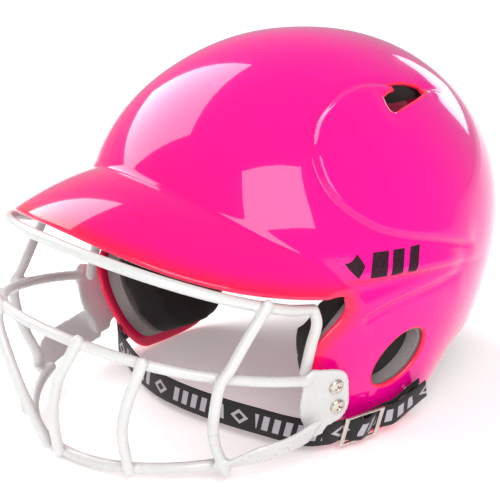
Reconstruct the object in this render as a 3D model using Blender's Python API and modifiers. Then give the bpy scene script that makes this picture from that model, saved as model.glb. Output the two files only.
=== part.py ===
"""A softball batting helmet: moulded shell, coated-wire face guard, foam lining and a chin strap.

Metres, +Z up. The wearer's face looks along -Y and the wearer's left is +X. The helmet stands on
its two ear flaps and on the feet of its face guard, at Z = 0.
"""

import math

import bmesh
import bpy
from mathutils import Matrix, Vector

# ---- shell ------------------------------------------------------------------------------------
HALF_WIDTH = 0.110          # crown, side to side
MEAN_LENGTH = 0.13235       # crown centre to its front or back, on average
LENGTH_SHIFT = 0.00575      # the back reaches this much further than that, the front this much less
CROWN_Y = 0.02285
EQUATOR_Z = 0.0972          # the shell is widest here
CROWN_RISE = 0.1097         # from the equator to the top
TAPER_LENGTH = 0.100        # below the equator the walls draw in by these shares at this depth
SIDE_TAPER = 0.18
END_TAPER = 0.29
FLAP_FLARE = 0.40           # the ear flaps stand out from the oval towards the face
FLARE_DEPTH = 0.040
FLARE_COSINE = 0.40
REAR_COSINE = 0.40          # behind this cosine, the sides draw in as much as the end does
REAR_CORNER_TRIM = 0.033    # how much smaller the plan is halfway between side and back
SHELL_THICKNESS = 0.003
SHELL_TRIM = 0.004          # the flaps are made this much long, then cut flat at the ground

# The brow line, where the brim leaves the crown, falls from the centre to the temple.
BRIM_AZIMUTH = math.radians(66)
BROW_LOW_Z = 0.0963
BROW_RISE = 0.0503
BROW_ROUNDNESS = 0.72

# The brim's edge is half an oval that arches up at the centre.
BRIM_HALF_WIDTH = 0.102
BRIM_Y = -0.0438
BRIM_REACH = 0.102
BRIM_LOW_Z = 0.0957
BRIM_TILT = 0.026
BRIM_ARCH = 0.0134
BRIM_BULGE = 0.004
BRIM_END = (0.1002, -0.031, 0.092)      # where the brim's edge runs out into the flap
BRIM_END_AZIMUTH = math.radians(68)

# Behind the brim, the shell's lower half runs from a side ridge to the rim. Each row gives the
# ridge azimuth, the ridge height, and the azimuth and height of the rim point below it.
RIM = (
    (68.0, 0.0963, 65.6, 0.0920),
    (68.8, 0.0963, 66.4, 0.0860),
    (70.0, 0.0963, 64.3, 0.0790),
    (71.3, 0.0963, 59.4, 0.0710),
    (72.8, 0.0963, 55.0, 0.0620),
    (74.4, 0.0963, 52.9, 0.0520),
    (76.0, 0.0963, 52.3, 0.0400),
    (77.8, 0.0963, 52.8, 0.0280),
    (79.8, 0.0963, 54.2, 0.0160),
    (82.2, 0.0963, 58.4, 0.0050),
    (85.5, 0.0963, 66.0, 0.0000),
    (92.5, 0.0960, 85.0, 0.0000),
    (97.5, 0.0945, 94.3, 0.0065),
    (101.8, 0.0930, 100.7, 0.0180),
    (105.6, 0.0905, 104.8, 0.0320),
    (110.0, 0.0880, 109.5, 0.0380),
    (119.0, 0.0840, 119.0, 0.0400),
    (134.0, 0.0790, 134.0, 0.0412),
    (150.0, 0.0740, 150.0, 0.0425),
    (165.0, 0.0710, 165.0, 0.0435),
    (180.0, 0.0700, 180.0, 0.0440),
)
BRIM_SHARE = 0.42           # share of the shell's columns that end on the brim
UPPER_SHARE = 0.62          # share of its rows that lie above the brow and the ridge
SHELL_COLUMNS = 42
SHELL_ROWS = 13

EAR_HOLE = (0.0062, 0.0481)  # centre, Y and Z
EAR_HOLE_RADII = (0.0205, 0.0140)
EAR_HOLE_TILT = math.radians(40)
EAR_HOLE_DEPTH = 0.020
VENT = (0.0695, 0.0435, 0.1790)
VENT_NORMAL = (0.649, 0.120, 0.752)
VENT_RADII = (0.0215, 0.0100)
VENT_DEPTH = 0.020

# ---- face guard ---------------------------------------------------------------------------------
WIRE_RADIUS = 0.003
GAP = 0.0003                # between pieces that touch
WIRE_SIDES = 2              # bevel resolution
# Each cross wire is half an oval: half width, Y of its ends, reach and its roundness, height of
# its ends, rise to the middle, and a further rise of the middle alone.
TOP_WIRE = (0.0957, -0.0527, 0.0960, 0.86, 0.0888, 0.0363, 0.0010)
MIDDLE_WIRE = (0.1016, -0.0505, 0.1066, 1.00, 0.0516, 0.0242, 0.0056)
BOTTOM_WIRE = (0.0945, -0.0344, 0.1086, 0.94, 0.0155, -0.0075, -0.0032)
MIDDLE_WIRE_END = math.radians(83.6)
BOTTOM_WIRE_END = math.radians(51)
WIRE_POINTS = 26
GUARD_LEG = ((0.0955, -0.0490, 0.0885), (0.0958, -0.0468, 0.0800), (0.0955, -0.0500, 0.0700))
GUARD_LEG_FOOT = (0.0953, -0.0526, 0.0610)

# The left half's three uprights, from the top down. The right half's are their mirror images.
UPRIGHTS = {
    "outer": (
        (0.0983, -0.0838, 0.0975), (0.0955, -0.0930, 0.0850), (0.0940, -0.1030, 0.0710),
        (0.0932, -0.1092, 0.0640), (0.0905, -0.1105, 0.0500), (0.0855, -0.1080, 0.0350),
        (0.0830, -0.1040, 0.0235), (0.0848, -0.1015, 0.0150), (0.0858, -0.1000, 0.0105),
    ),
    "middle": (
        (0.0690, -0.1390, 0.0745), (0.0665, -0.1395, 0.0690), (0.0610, -0.1405, 0.0570),
        (0.0555, -0.1405, 0.0440), (0.0500, -0.1385, 0.0300), (0.0478, -0.1365, 0.0150),
        (0.0482, -0.1355, 0.0002),
    ),
    "centre": (
        (0.0368, -0.1562, 0.0812), (0.0328, -0.1578, 0.0720), (0.0252, -0.1582, 0.0600),
        (0.0165, -0.1568, 0.0420), (0.0100, -0.1538, 0.0240), (0.0062, -0.1512, 0.0110),
        (0.0052, -0.1505, 0.0002),
    ),
}
UPRIGHT_POINTS = 12

# The side plates are flat sheet, outlined as (rearward, upward) from the plate's own origin.
PLATE_THICKNESS = 0.0022
PLATE_ORIGIN = (0.1009, -0.0420, 0.0402)
PLATE_TURN = math.radians(7)       # the front edge is nearer the face than the rear edge
PLATE_LEAN = math.radians(13)      # the lower edge is nearer the face than the upper edge
PLATE_OUTLINE = (
    (-0.0140, 0.0200), (0.0035, 0.0150), (0.0098, 0.0095), (0.0125, -0.0010), (0.0140, -0.0100),
    (0.0105, -0.0180), (0.0015, -0.0205), (-0.0015, -0.0250), (-0.0110, -0.0245),
    (-0.0135, -0.0170), (-0.0180, -0.0070), (-0.0190, 0.0070), (-0.0180, 0.0170),
)
SCREW_PLACES = {"upper": (0.0020, 0.0058), "lower": (0.0052, -0.0078)}
SCREW_HOLE_RADIUS = 0.0027
SCREW_SHANK_RADIUS = 0.0022
SCREW_HEAD_RADIUS = 0.0041
SCREW_HEAD_HEIGHT = 0.0022
NUT_RADIUS = 0.0050
NUT_HEIGHT = 0.0030
NUT_BASES = {"upper": -0.0126, "lower": -0.0122}
SCREW_TIP = -0.0168

# Each arm is a tapering band of the same sheet, from the plate's neck to the bottom wire.
ARM_UPPER_EDGE = (
    (0.1045, -0.0556, 0.0285), (0.1030, -0.0665, 0.0266), (0.1015, -0.0765, 0.0252),
    (0.0975, -0.0885, 0.0235), (0.0895, -0.1000, 0.0175),
)
ARM_LOWER_EDGE = (
    (0.0925, -0.0546, 0.0120), (0.0920, -0.0665, 0.0105), (0.0905, -0.0765, 0.0105),
    (0.0868, -0.0865, 0.0100), (0.0815, -0.0940, 0.0095),
)
ARM_THICKNESS = 0.0022

# ---- lining -------------------------------------------------------------------------------------
# Each pad covers part of the shell's inside: first and last share of the shell's columns, first
# and last share of its rows, depth of its outer face under the shell's outside, and thickness.
BASE_DEPTH = SHELL_THICKNESS + 0.0010
BASE_THICKNESS = 0.0080
SOFT_DEPTH = BASE_DEPTH + BASE_THICKNESS + 0.0012
EAR_PATCH = (0.452, 0.720, 0.655, 0.985)
CHEEK_PATCH = (0.440, 0.722, 0.635, 0.985)
FRONT_PATCH = (-0.235, 0.235, 0.400, 0.590)
REAR_PATCH = (0.815, 1.185, 0.640, 0.985)
EAR_PADS = {
    "ear_pad_base": (*EAR_PATCH, BASE_DEPTH, BASE_THICKNESS),
    "ear_pad": (*CHEEK_PATCH, SOFT_DEPTH, 0.0190),
    "side_pad": (0.300, 0.740, 0.330, 0.590, BASE_DEPTH, 0.0140),
}
CENTRE_PADS = {
    "front_pad_base": (*FRONT_PATCH, BASE_DEPTH, BASE_THICKNESS),
    "front_pad": (*FRONT_PATCH, SOFT_DEPTH, 0.0100),
    "rear_pad_base": (*REAR_PATCH, BASE_DEPTH, BASE_THICKNESS),
    "rear_pad": (*REAR_PATCH, SOFT_DEPTH, 0.0110),
}
CROWN_PAD_ROW = 0.250       # the crown pad reaches out to this share of the rows
CROWN_PAD_THICKNESS = 0.0140
PAD_COLUMNS = 9
PAD_ROWS = 7
PAD_ROUNDING = 0.18         # how far the corners of a pad draw in
PAD_DRAFT = 0.94            # its inner face is this much smaller than its outer one
EAR_POCKET_RADII = (0.0290, 0.0200)
NUT_POCKET_RADIUS = 0.0068
NUT_POCKET_RISE = 0.0122    # the blind pocket's middle, above the plate, and half its depth
NUT_POCKET_DEPTH = 0.0300

# ---- chin strap -----------------------------------------------------------------------------------
STRAP_WIDTH = 0.016
STRAP_THICKNESS = 0.0012
STRAP_LEAN = 0.36           # it leans with the flaps it lies on
STRAP_LEAN_START = 0.0850   # the lean comes in between these distances from the middle
STRAP_LEAN_END = 0.0955
SNAP_PLACE = (0.0175, 0.0235)       # Y and Z; the strap hinges on the line through both snaps
# Where the strap lies beside a flap, a point is given as Y, Z and height above the flap.
STRAP_TAIL = ((0.0245, 0.0272, 0.0070), (0.0150, 0.0226, 0.0072), (0.0060, 0.0178, 0.0072))
STRAP_FREE = (
    (0.0935, -0.0360, 0.0130), (0.0860, -0.0440, 0.0132), (0.0740, -0.0498, 0.0134),
    (0.0600, -0.0540, 0.0134), (0.0430, -0.0588, 0.0133), (0.0240, -0.0628, 0.0132),
    (0.0030, -0.0655, 0.0131), (-0.0180, -0.0655, 0.0130), (-0.0400, -0.0610, 0.0130),
    (-0.0600, -0.0540, 0.0130), (-0.0790, -0.0465, 0.0131), (-0.0935, -0.0350, 0.0133),
    (-0.0995, -0.0200, 0.0138), (-0.1025, -0.0060, 0.0149),
)
STRAP_END = ((0.0060, 0.0180, 0.0036), (0.0150, 0.0223, 0.0030), (0.0245, 0.0270, 0.0030))
STRAP_POINTS = 96
ANCHOR_FLAP = ((0.0060, 0.0178, 0.0040), (0.0150, 0.0226, 0.0030), (0.0235, 0.0264, 0.0030))
ANCHOR_POINTS = 16
STUD_RADIUS = 0.0036
STUD_BASE = 0.0005          # the stud's foot is this far above the flap's outside
STUD_HEIGHT = 0.0011
SNAP_RADIUS = 0.0055
SNAP_HEIGHT = 0.0010
SNAP_CAP_BASE = 0.0037      # above the stud's foot, clear of the strap's outer face

# The slider's two end bars lie over the strap and its middle bar lies under it.
SLIDER_CENTRE = (0.0995, -0.0165, 0.0130)
SLIDER_RUN = (0.0030, 0.0235, 0.0004)
SLIDER_LENGTH = 0.0260
SLIDER_HEIGHT = 0.0205
SLIDER_WALL = 0.0028
SLIDER_THICKNESS = 0.0016
# The strap's way through the slider: distance along it and height over its middle plane.
STRAP_THREAD = ((0.0150, -0.0019), (0.0100, -0.0019), (0.0022, 0.0018), (-0.0022, 0.0018),
                (-0.0100, -0.0019), (-0.0150, -0.0019))
ANCHOR_THREAD = ((-0.0020, -0.0022), (0.0060, -0.0030), (0.0150, -0.0038))

COLOURS = {
    "pink_shell": ((0.95, 0.015, 0.28, 1.0), 0.12, 0.0),
    "white_vinyl": ((0.80, 0.80, 0.79, 1.0), 0.35, 0.0),
    "grey_foam": ((0.22, 0.20, 0.19, 1.0), 0.90, 0.0),
    "black_foam": ((0.018, 0.015, 0.015, 1.0), 0.85, 0.0),
    "black_webbing": ((0.014, 0.012, 0.013, 1.0), 0.80, 0.0),
    "nickel": ((0.62, 0.58, 0.52, 1.0), 0.25, 1.0),
}


# ---- helpers --------------------------------------------------------------------------------------
def clear_scene():
    for item in list(bpy.data.objects):
        bpy.data.objects.remove(item)


def new_collection(name):
    collection = bpy.data.collections.new(name)
    bpy.context.scene.collection.children.link(collection)
    return collection


def finish(name):
    """The material of this name, made once."""
    if name in bpy.data.materials:
        return bpy.data.materials[name]
    colour, roughness, metallic = COLOURS[name]
    material = bpy.data.materials.new(name)
    material.use_nodes = True
    shader = material.node_tree.nodes["Principled BSDF"]
    shader.inputs["Base Color"].default_value = colour
    shader.inputs["Roughness"].default_value = roughness
    shader.inputs["Metallic"].default_value = metallic
    material.diffuse_color = colour
    return material


def add_object(name, data, material):
    """A new object in the helmet's collection, with its own copy of the material."""
    item = bpy.data.objects.new(name, data)
    PARTS.objects.link(item)
    own = finish(material).copy()
    own.name = name + "_finish"
    item.data.materials.append(own)
    return item


def as_cutter(item):
    """Takes an object out of the model, to be used by a Boolean."""
    for collection in list(item.users_collection):
        collection.objects.unlink(item)
    CUTTERS.objects.link(item)
    item.hide_render = True
    item.display_type = "WIRE"
    return item


def cut(item, cutter):
    boolean = item.modifiers.new("cut_" + cutter.name, "BOOLEAN")
    boolean.operation = "DIFFERENCE"
    boolean.solver = "EXACT"
    boolean.object = cutter


def ease(value):
    """Runs smoothly from 0 to 1 as the value does, and is flat outside that."""
    value = min(max(value, 0.0), 1.0)
    return value * value * (3.0 - 2.0 * value)


def smooth_route(points, count):
    """Points evenly spread in number along a Catmull-Rom curve through the given ones."""
    rows = [Vector(point) for point in points]
    rows = [2 * rows[0] - rows[1]] + rows + [2 * rows[-1] - rows[-2]]
    result = []
    for i in range(count):
        place = i / (count - 1) * (len(points) - 1)
        k = min(int(place), len(points) - 2)
        t = place - k
        a, b, c, d = rows[k:k + 4]
        slope = (c - a) * t + (2 * a - 5 * b + 4 * c - d) * t ** 2 + (3 * b - a - 3 * c + d) * t ** 3
        result.append(b + slope / 2)
    return result


def mirrored(points):
    return [(-x, y, z) for x, y, z in points]


def facing(direction):
    """A rotation that turns +Z to the given direction."""
    return Vector(direction).to_track_quat("Z", "Y").to_matrix().to_4x4()


# ---- the shell's surface --------------------------------------------------------------------------
def polar_of(height):
    """Angle from the top at which the crown has this height."""
    rise = height - EQUATOR_Z
    if rise >= 0:
        return math.acos(min(rise / CROWN_RISE, 1.0))
    return math.pi / 2 - rise / CROWN_RISE


def crown_point(azimuth, polar):
    """The outside of the shell. Azimuth runs from the face round the left side to the back."""
    if polar <= math.pi / 2:
        height = EQUATOR_Z + CROWN_RISE * math.cos(polar)
        side = end = math.sin(polar)
    else:
        height = EQUATOR_Z - CROWN_RISE * (polar - math.pi / 2)
        drop = (EQUATOR_Z - height) / TAPER_LENGTH
        rear = ease(-math.cos(azimuth) / REAR_COSINE)
        side = 1 - (SIDE_TAPER + (END_TAPER - SIDE_TAPER) * rear) * drop ** 2
        end = 1 - END_TAPER * drop ** 2
    flare = ease((EQUATOR_Z - height) / FLARE_DEPTH) * ease(math.cos(azimuth) / FLARE_COSINE)
    across = max(math.sin(azimuth), 0.0) ** (1 - FLAP_FLARE * flare)
    reach = MEAN_LENGTH - LENGTH_SHIFT * math.cos(azimuth)
    corner = 1 - REAR_CORNER_TRIM * math.sin(2 * max(azimuth, math.pi / 2)) ** 2
    x = HALF_WIDTH * side * across * corner
    return Vector((x, CROWN_Y - reach * end * corner * math.cos(azimuth), height))


def brow_height(azimuth):
    share = max(math.cos(math.pi / 2 * min(azimuth / BRIM_AZIMUTH, 1.0)), 0.0)
    return BROW_LOW_Z + BROW_RISE * share ** BROW_ROUNDNESS


def brim_edge(azimuth):
    """The brim's edge below the brow point at this azimuth."""
    share = azimuth / BRIM_AZIMUTH
    if share <= 1:
        turn = azimuth * (1.083 + 0.2806 * share ** 2)
        along = max(math.cos(turn), 0.0)
        rise = BRIM_TILT * along + BRIM_ARCH * along ** 4
        return Vector((BRIM_HALF_WIDTH * math.sin(turn), BRIM_Y - BRIM_REACH * along, BRIM_LOW_Z + rise))
    back = (azimuth - BRIM_AZIMUTH) / (BRIM_END_AZIMUTH - BRIM_AZIMUTH)
    return Vector((BRIM_HALF_WIDTH, BRIM_Y, BRIM_LOW_Z)).lerp(Vector(BRIM_END), back)


def rim_lengths():
    """How far along the rim each row of RIM lies."""
    lengths = [0.0]
    places = [crown_point(math.radians(rim), polar_of(height)) for _, _, rim, height in RIM]
    for here, there in zip(places, places[1:]):
        lengths.append(lengths[-1] + (there - here).length)
    return lengths


def rim_row(share):
    """Ridge azimuth and height, rim azimuth and height, at a share of the way along the rim."""
    lengths = rim_lengths()
    along = min(share, 1.0) * lengths[-1]
    k = max(i for i in range(len(RIM) - 1) if lengths[i] <= along + 1e-9)
    rows = [Vector(RIM[min(max(k + i, 0), len(RIM) - 1)]) for i in (-1, 0, 1, 2)]
    t = (along - lengths[k]) / (lengths[k + 1] - lengths[k])
    a, b, c, d = rows
    slope = (c - a) * t + (2 * a - 5 * b + 4 * c - d) * t ** 2 + (3 * b - a - 3 * c + d) * t ** 3
    return b + slope / 2


def shell_point(column, row):
    """The outside of the left half of the shell, by its share of the columns and of the rows."""
    on_brim = column < BRIM_SHARE
    if on_brim:
        azimuth = column / BRIM_SHARE * BRIM_END_AZIMUTH
        middle = brow_height(azimuth)
    else:
        ridge, middle, rim, rim_z = rim_row((column - BRIM_SHARE) / (1 - BRIM_SHARE))
        azimuth = math.radians(ridge)
    middle_polar = polar_of(middle)
    if row <= UPPER_SHARE:
        return crown_point(azimuth, middle_polar * row / UPPER_SHARE)
    down = (row - UPPER_SHARE) / (1 - UPPER_SHARE)
    if on_brim:
        brow = crown_point(azimuth, middle_polar)
        edge = brim_edge(azimuth)
        lift = BRIM_BULGE * 4 * down * (1 - down) * min((edge - brow).length / BRIM_REACH, 1.0)
        return brow.lerp(edge, down) + Vector((0, 0, lift))
    rim_azimuth = azimuth + (math.radians(rim) - azimuth) * down ** 2
    if rim_z <= SHELL_TRIM:
        rim_z -= SHELL_TRIM
    return crown_point(rim_azimuth, middle_polar + (polar_of(rim_z) - middle_polar) * down)


def lining_point(column, row, depth):
    """A point this deep under the outside. Columns past 0 or 1 are on the right half."""
    side = 1
    if column < 0:
        column, side = -column, -1
    if column > 1:
        column, side = 2 - column, -1
    step = 0.004
    here = shell_point(column, row)
    over = shell_point(min(column + step, 1), row) - shell_point(max(column - step, 0), row)
    down = shell_point(column, min(row + step, 1)) - shell_point(column, max(row - step, 0))
    inward = over.cross(down).normalized()
    if inward.length < 0.5:
        inward = Vector((0, 0, -1))
    if inward.dot(Vector((0, CROWN_Y, EQUATOR_Z)) - here) < 0:
        inward = -inward
    point = here + inward * depth
    return Vector((side * point.x, point.y, point.z))


def grid_mesh(name, columns, rows, place):
    """A grid whose corners run over (0, 0) to (1, 1), each vertex put where place(u, v) says."""
    mesh = bpy.data.meshes.new(name)
    build = bmesh.new()
    bmesh.ops.create_grid(build, x_segments=columns, y_segments=rows, size=1)
    for vertex in build.verts:
        vertex.co = place((vertex.co.x + 1) / 2, (vertex.co.y + 1) / 2)
    bmesh.ops.remove_doubles(build, verts=build.verts, dist=1e-6)
    build.to_mesh(mesh)
    build.free()
    return mesh


def thicken(item, thickness, inward=True):
    solid = item.modifiers.new("thickness", "SOLIDIFY")
    solid.thickness = thickness
    solid.offset = -1 if inward else 0
    solid.use_even_offset = True


# ---- pieces ---------------------------------------------------------------------------------------
def face_outward(mesh, centre):
    """Turns the faces of an open sheet so that they look away from the centre."""
    build = bmesh.new()
    build.from_mesh(mesh)
    build.normal_update()
    outward = sum(face.normal.dot(face.calc_center_median() - centre) for face in build.faces)
    if outward < 0:
        bmesh.ops.reverse_faces(build, faces=build.faces)
    build.to_mesh(mesh)
    build.free()


def oval_cutter(name, radii, depth, matrix, sides=32):
    """An oval prism along its own Z, centred on the matrix's place."""
    mesh = bpy.data.meshes.new(name)
    build = bmesh.new()
    bmesh.ops.create_cone(
        build, cap_ends=True, segments=sides, radius1=1, radius2=1, depth=2 * depth)
    build.transform(Matrix.Diagonal((radii[0], radii[1], 1, 1)))
    build.to_mesh(mesh)
    build.free()
    item = bpy.data.objects.new(name, mesh)
    item.matrix_world = matrix
    return as_cutter(item)


def box_cutter(name, size, centre):
    mesh = bpy.data.meshes.new(name)
    build = bmesh.new()
    bmesh.ops.create_cube(build, size=1)
    build.transform(Matrix.Diagonal((*size, 1)))
    build.to_mesh(mesh)
    build.free()
    item = bpy.data.objects.new(name, mesh)
    item.location = centre
    return as_cutter(item)


def ear_matrix(side, x):
    """Place of an ear hole: its own X runs along the oval, its own Z across the helmet."""
    along = Vector((0, math.cos(EAR_HOLE_TILT), math.sin(EAR_HOLE_TILT)))
    out = Vector((side, 0, 0))
    columns = Matrix((along, out.cross(along), out)).transposed().to_4x4()
    return Matrix.Translation((side * x, *EAR_HOLE)) @ columns


def vent_matrix(side):
    out = Vector((side * VENT_NORMAL[0], VENT_NORMAL[1], VENT_NORMAL[2])).normalized()
    along = (Vector((0, 1, 0)) - out * out.y).normalized()
    columns = Matrix((along, out.cross(along), out)).transposed().to_4x4()
    return Matrix.Translation((side * VENT[0], VENT[1], VENT[2])) @ columns


def plate_matrix(side):
    """Place of a side plate: its own X runs rearward, its own Y up and its own Z outward."""
    turn = Matrix.Rotation(-side * PLATE_TURN, 4, "Z") @ Matrix.Rotation(side * PLATE_LEAN, 4, "Y")
    out = turn @ Vector((side, 0, 0))
    back = turn @ Vector((0, 1, 0))
    up = turn @ Vector((0, 0, 1))
    columns = Matrix((back, up, out)).transposed().to_4x4()
    x, y, z = PLATE_ORIGIN
    return Matrix.Translation((side * x, y, z)) @ columns


def screw_matrix(side, place, height):
    """A screw's place on a plate, this far outside the plate's middle."""
    return plate_matrix(side) @ Matrix.Translation((*place, height))


SIDES = (("left", 1), ("right", -1))


def make_shell():
    mesh = grid_mesh("shell", SHELL_COLUMNS, SHELL_ROWS, shell_point)
    face_outward(mesh, Vector((0, CROWN_Y, EQUATOR_Z)))
    for vertex in mesh.vertices:
        if abs(vertex.co.x) < 1e-6:
            vertex.co.x = 0
    shell = add_object("shell", mesh, "pink_shell")
    mirror = shell.modifiers.new("halves", "MIRROR")
    mirror.merge_threshold = 0.0001
    thicken(shell, SHELL_THICKNESS)
    for name, side in SIDES:
        place = ear_matrix(side, HALF_WIDTH)
        cut(shell, oval_cutter("ear_hole_" + name, EAR_HOLE_RADII, EAR_HOLE_DEPTH, place))
        cut(shell, oval_cutter("vent_" + name, VENT_RADII, VENT_DEPTH, vent_matrix(side)))
        for level, place in SCREW_PLACES.items():
            hole = oval_cutter(
                f"screw_hole_{name}_{level}", (SCREW_HOLE_RADIUS, SCREW_HOLE_RADIUS), 0.025,
                screw_matrix(side, place, 0), 16)
            cut(shell, hole)
    ground = box_cutter("ground", (0.4, 0.5, 0.02), (0, 0, -0.01))
    cut(shell, ground)
    return shell


def wire(name, points, material="white_vinyl"):
    """A round wire through the points."""
    data = bpy.data.curves.new(name, "CURVE")
    data.dimensions = "3D"
    data.bevel_depth = WIRE_RADIUS
    data.bevel_resolution = WIRE_SIDES
    data.use_fill_caps = True
    spline = data.splines.new("POLY")
    spline.points.add(len(points) - 1)
    for slot, point in zip(spline.points, points):
        slot.co = (*point, 1)
    return add_object(name, data, material)


def arc_wire(shape, end, count=WIRE_POINTS):
    """Points of a cross wire between -end and end."""
    half_width, y, reach, roundness, low, rise, peak = shape
    points = []
    for i in range(count):
        turn = -end + 2 * end * i / (count - 1)
        along = math.cos(turn)
        height = low + rise * along + peak * along ** 4
        points.append((half_width * math.sin(turn), y - reach * along ** roundness, height))
    return points


def make_cross_wires():
    leg = smooth_route((*GUARD_LEG, GUARD_LEG_FOOT), 6)
    left = [tuple(point) for point in leg]
    arc = arc_wire(TOP_WIRE, math.radians(86))
    wire("guard_top_wire", mirrored(left[::-1]) + arc + left)
    wire("guard_middle_wire", arc_wire(MIDDLE_WIRE, MIDDLE_WIRE_END))
    wire("guard_bottom_wire", arc_wire(BOTTOM_WIRE, BOTTOM_WIRE_END, 18))


def make_uprights():
    for place, route in UPRIGHTS.items():
        points = [tuple(point) for point in smooth_route(route, UPRIGHT_POINTS)]
        wire(f"guard_{place}_upright_left", points)
        wire(f"guard_{place}_upright_right", mirrored(points))


def closed_spline(data, points, handle="AUTO", resolution=3):
    spline = data.splines.new("BEZIER")
    spline.bezier_points.add(len(points) - 1)
    for slot, (x, y) in zip(spline.bezier_points, points):
        slot.co = (x, y, 0)
        slot.handle_left_type = slot.handle_right_type = handle
    spline.use_cyclic_u = True
    spline.resolution_u = resolution


def make_plate(name, side):
    data = bpy.data.curves.new("guard_plate_" + name, "CURVE")
    data.dimensions = "2D"
    data.fill_mode = "BOTH"
    data.extrude = PLATE_THICKNESS / 2
    closed_spline(data, PLATE_OUTLINE)
    for x, y in SCREW_PLACES.values():
        ring = [
            (x + SCREW_HOLE_RADIUS * math.cos(turn * math.pi / 2),
             y + SCREW_HOLE_RADIUS * math.sin(turn * math.pi / 2)) for turn in range(4)]
        closed_spline(data, ring, resolution=4)
    plate = add_object(data.name, data, "white_vinyl")
    plate.matrix_world = plate_matrix(side)
    return plate


def make_arm(name, side):
    upper = smooth_route(ARM_UPPER_EDGE, 9)
    lower = smooth_route(ARM_LOWER_EDGE, 9)

    def place(u, v):
        k = round(u * 8)
        point = upper[k].lerp(lower[k], v)
        return Vector((side * point.x, point.y, point.z))

    arm = add_object("guard_arm_" + name, grid_mesh("guard_arm_" + name, 8, 2, place), "white_vinyl")
    thicken(arm, ARM_THICKNESS, inward=False)
    return arm


def turned(name, profile, matrix, material, steps=20):
    """A solid turned about its own Z. The profile runs down from the top, as (radius, height)."""
    mesh = bpy.data.meshes.new(name)
    build = bmesh.new()
    corners = [build.verts.new((radius, 0, height)) for radius, height in profile]
    for a, b in zip(corners, corners[1:]):
        build.edges.new((a, b))
    build.to_mesh(mesh)
    build.free()
    item = add_object(name, mesh, material)
    screw = item.modifiers.new("turn", "SCREW")
    screw.steps = steps
    screw.render_steps = steps
    screw.use_merge_vertices = True
    screw.merge_threshold = 0.00005
    item.matrix_world = matrix
    return item


def make_fasteners(name, side):
    """Screws with domed heads outside the plate, and their nuts inside the flap."""
    head = PLATE_THICKNESS / 2 + GAP
    for level, place in SCREW_PLACES.items():
        matrix = screw_matrix(side, place, 0)
        profile = (
            (0, head + SCREW_HEAD_HEIGHT), (SCREW_HEAD_RADIUS * 0.6, head + SCREW_HEAD_HEIGHT * 0.9),
            (SCREW_HEAD_RADIUS, head + SCREW_HEAD_HEIGHT * 0.35), (SCREW_HEAD_RADIUS, head),
            (SCREW_SHANK_RADIUS, head), (SCREW_SHANK_RADIUS, SCREW_TIP), (0, SCREW_TIP))
        turned(f"guard_screw_{name}_{level}", profile, matrix, "nickel", 16)
        bore = SCREW_SHANK_RADIUS + GAP
        base = NUT_BASES[level]
        nut = (
            (bore, base), (NUT_RADIUS, base), (NUT_RADIUS, base - NUT_HEIGHT),
            (bore, base - NUT_HEIGHT), (bore, base))
        turned(f"guard_nut_{name}_{level}", nut, matrix, "nickel", 12)


def round_corners(u, v):
    """Moves the corners of the unit square in, so that a patch has round corners."""
    x, y = 2 * u - 1, 2 * v - 1
    x, y = x * (1 - PAD_ROUNDING * y ** 4), y * (1 - PAD_ROUNDING * x ** 4)
    return (x + 1) / 2, (y + 1) / 2


def slab_mesh(name, columns, rows, place):
    """A closed slab whose vertices are put where place(u, v, inside) says; inside is 0 or 1."""
    mesh = bpy.data.meshes.new(name)
    build = bmesh.new()
    bmesh.ops.create_grid(build, x_segments=columns, y_segments=rows, size=1)
    raised = bmesh.ops.extrude_face_region(build, geom=build.faces[:])
    for item in raised["geom"]:
        if isinstance(item, bmesh.types.BMVert):
            item.co.z = 1
    for vertex in build.verts:
        x, y, z = vertex.co
        vertex.co = place((x + 1) / 2, (y + 1) / 2, round(z))
    bmesh.ops.remove_doubles(build, verts=build.verts, dist=1e-6)
    bmesh.ops.recalc_face_normals(build, faces=build.faces)
    build.to_mesh(mesh)
    build.free()
    return mesh


def make_pad(name, patch, material, side=1):
    first, last, top, bottom, depth, thickness = patch

    def place(u, v, inside):
        u, v = round_corners(u, v)
        if inside:
            u, v = 0.5 + (u - 0.5) * PAD_DRAFT, 0.5 + (v - 0.5) * PAD_DRAFT
        column, row = first + (last - first) * u, top + (bottom - top) * v
        point = lining_point(column, row, depth + thickness * inside)
        return Vector((side * point.x, point.y, point.z))

    return add_object(name, slab_mesh(name, PAD_COLUMNS, PAD_ROWS, place), material)


def make_crown_pad():
    """A round pad under the top of the shell."""

    def place(u, v, inside):
        row = CROWN_PAD_ROW * v * (PAD_DRAFT if inside else 1)
        return lining_point(2 * u - 1, row, BASE_DEPTH + CROWN_PAD_THICKNESS * inside)

    mesh = slab_mesh("crown_pad", 24, 4, place)
    build = bmesh.new()
    build.from_mesh(mesh)
    seam = [face for face in build.faces if all(abs(corner.co.x) < 1e-5 for corner in face.verts)]
    bmesh.ops.delete(build, geom=seam, context="FACES")
    bmesh.ops.recalc_face_normals(build, faces=build.faces)
    build.to_mesh(mesh)
    build.free()
    add_object("crown_pad", mesh, "black_foam")


def make_lining():
    for name, side in SIDES:
        for pad, patch in EAR_PADS.items():
            material = "grey_foam" if pad.endswith("base") else "black_foam"
            item = make_pad(f"{pad}_{name}", patch, material, side)
            if pad == "ear_pad_base":
                pocket = oval_cutter(
                    "ear_pocket_" + name, EAR_POCKET_RADII, 0.030, ear_matrix(side, HALF_WIDTH))
                cut(item, pocket)
                for level, place in SCREW_PLACES.items():
                    hole = oval_cutter(
                        f"nut_pocket_{name}_{level}", (NUT_POCKET_RADIUS, NUT_POCKET_RADIUS),
                        NUT_POCKET_DEPTH, screw_matrix(side, place, NUT_POCKET_RISE), 16)
                    cut(item, hole)
    for pad, patch in CENTRE_PADS.items():
        make_pad(pad, patch, "grey_foam" if pad.endswith("base") else "black_foam")
    make_crown_pad()


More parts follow.
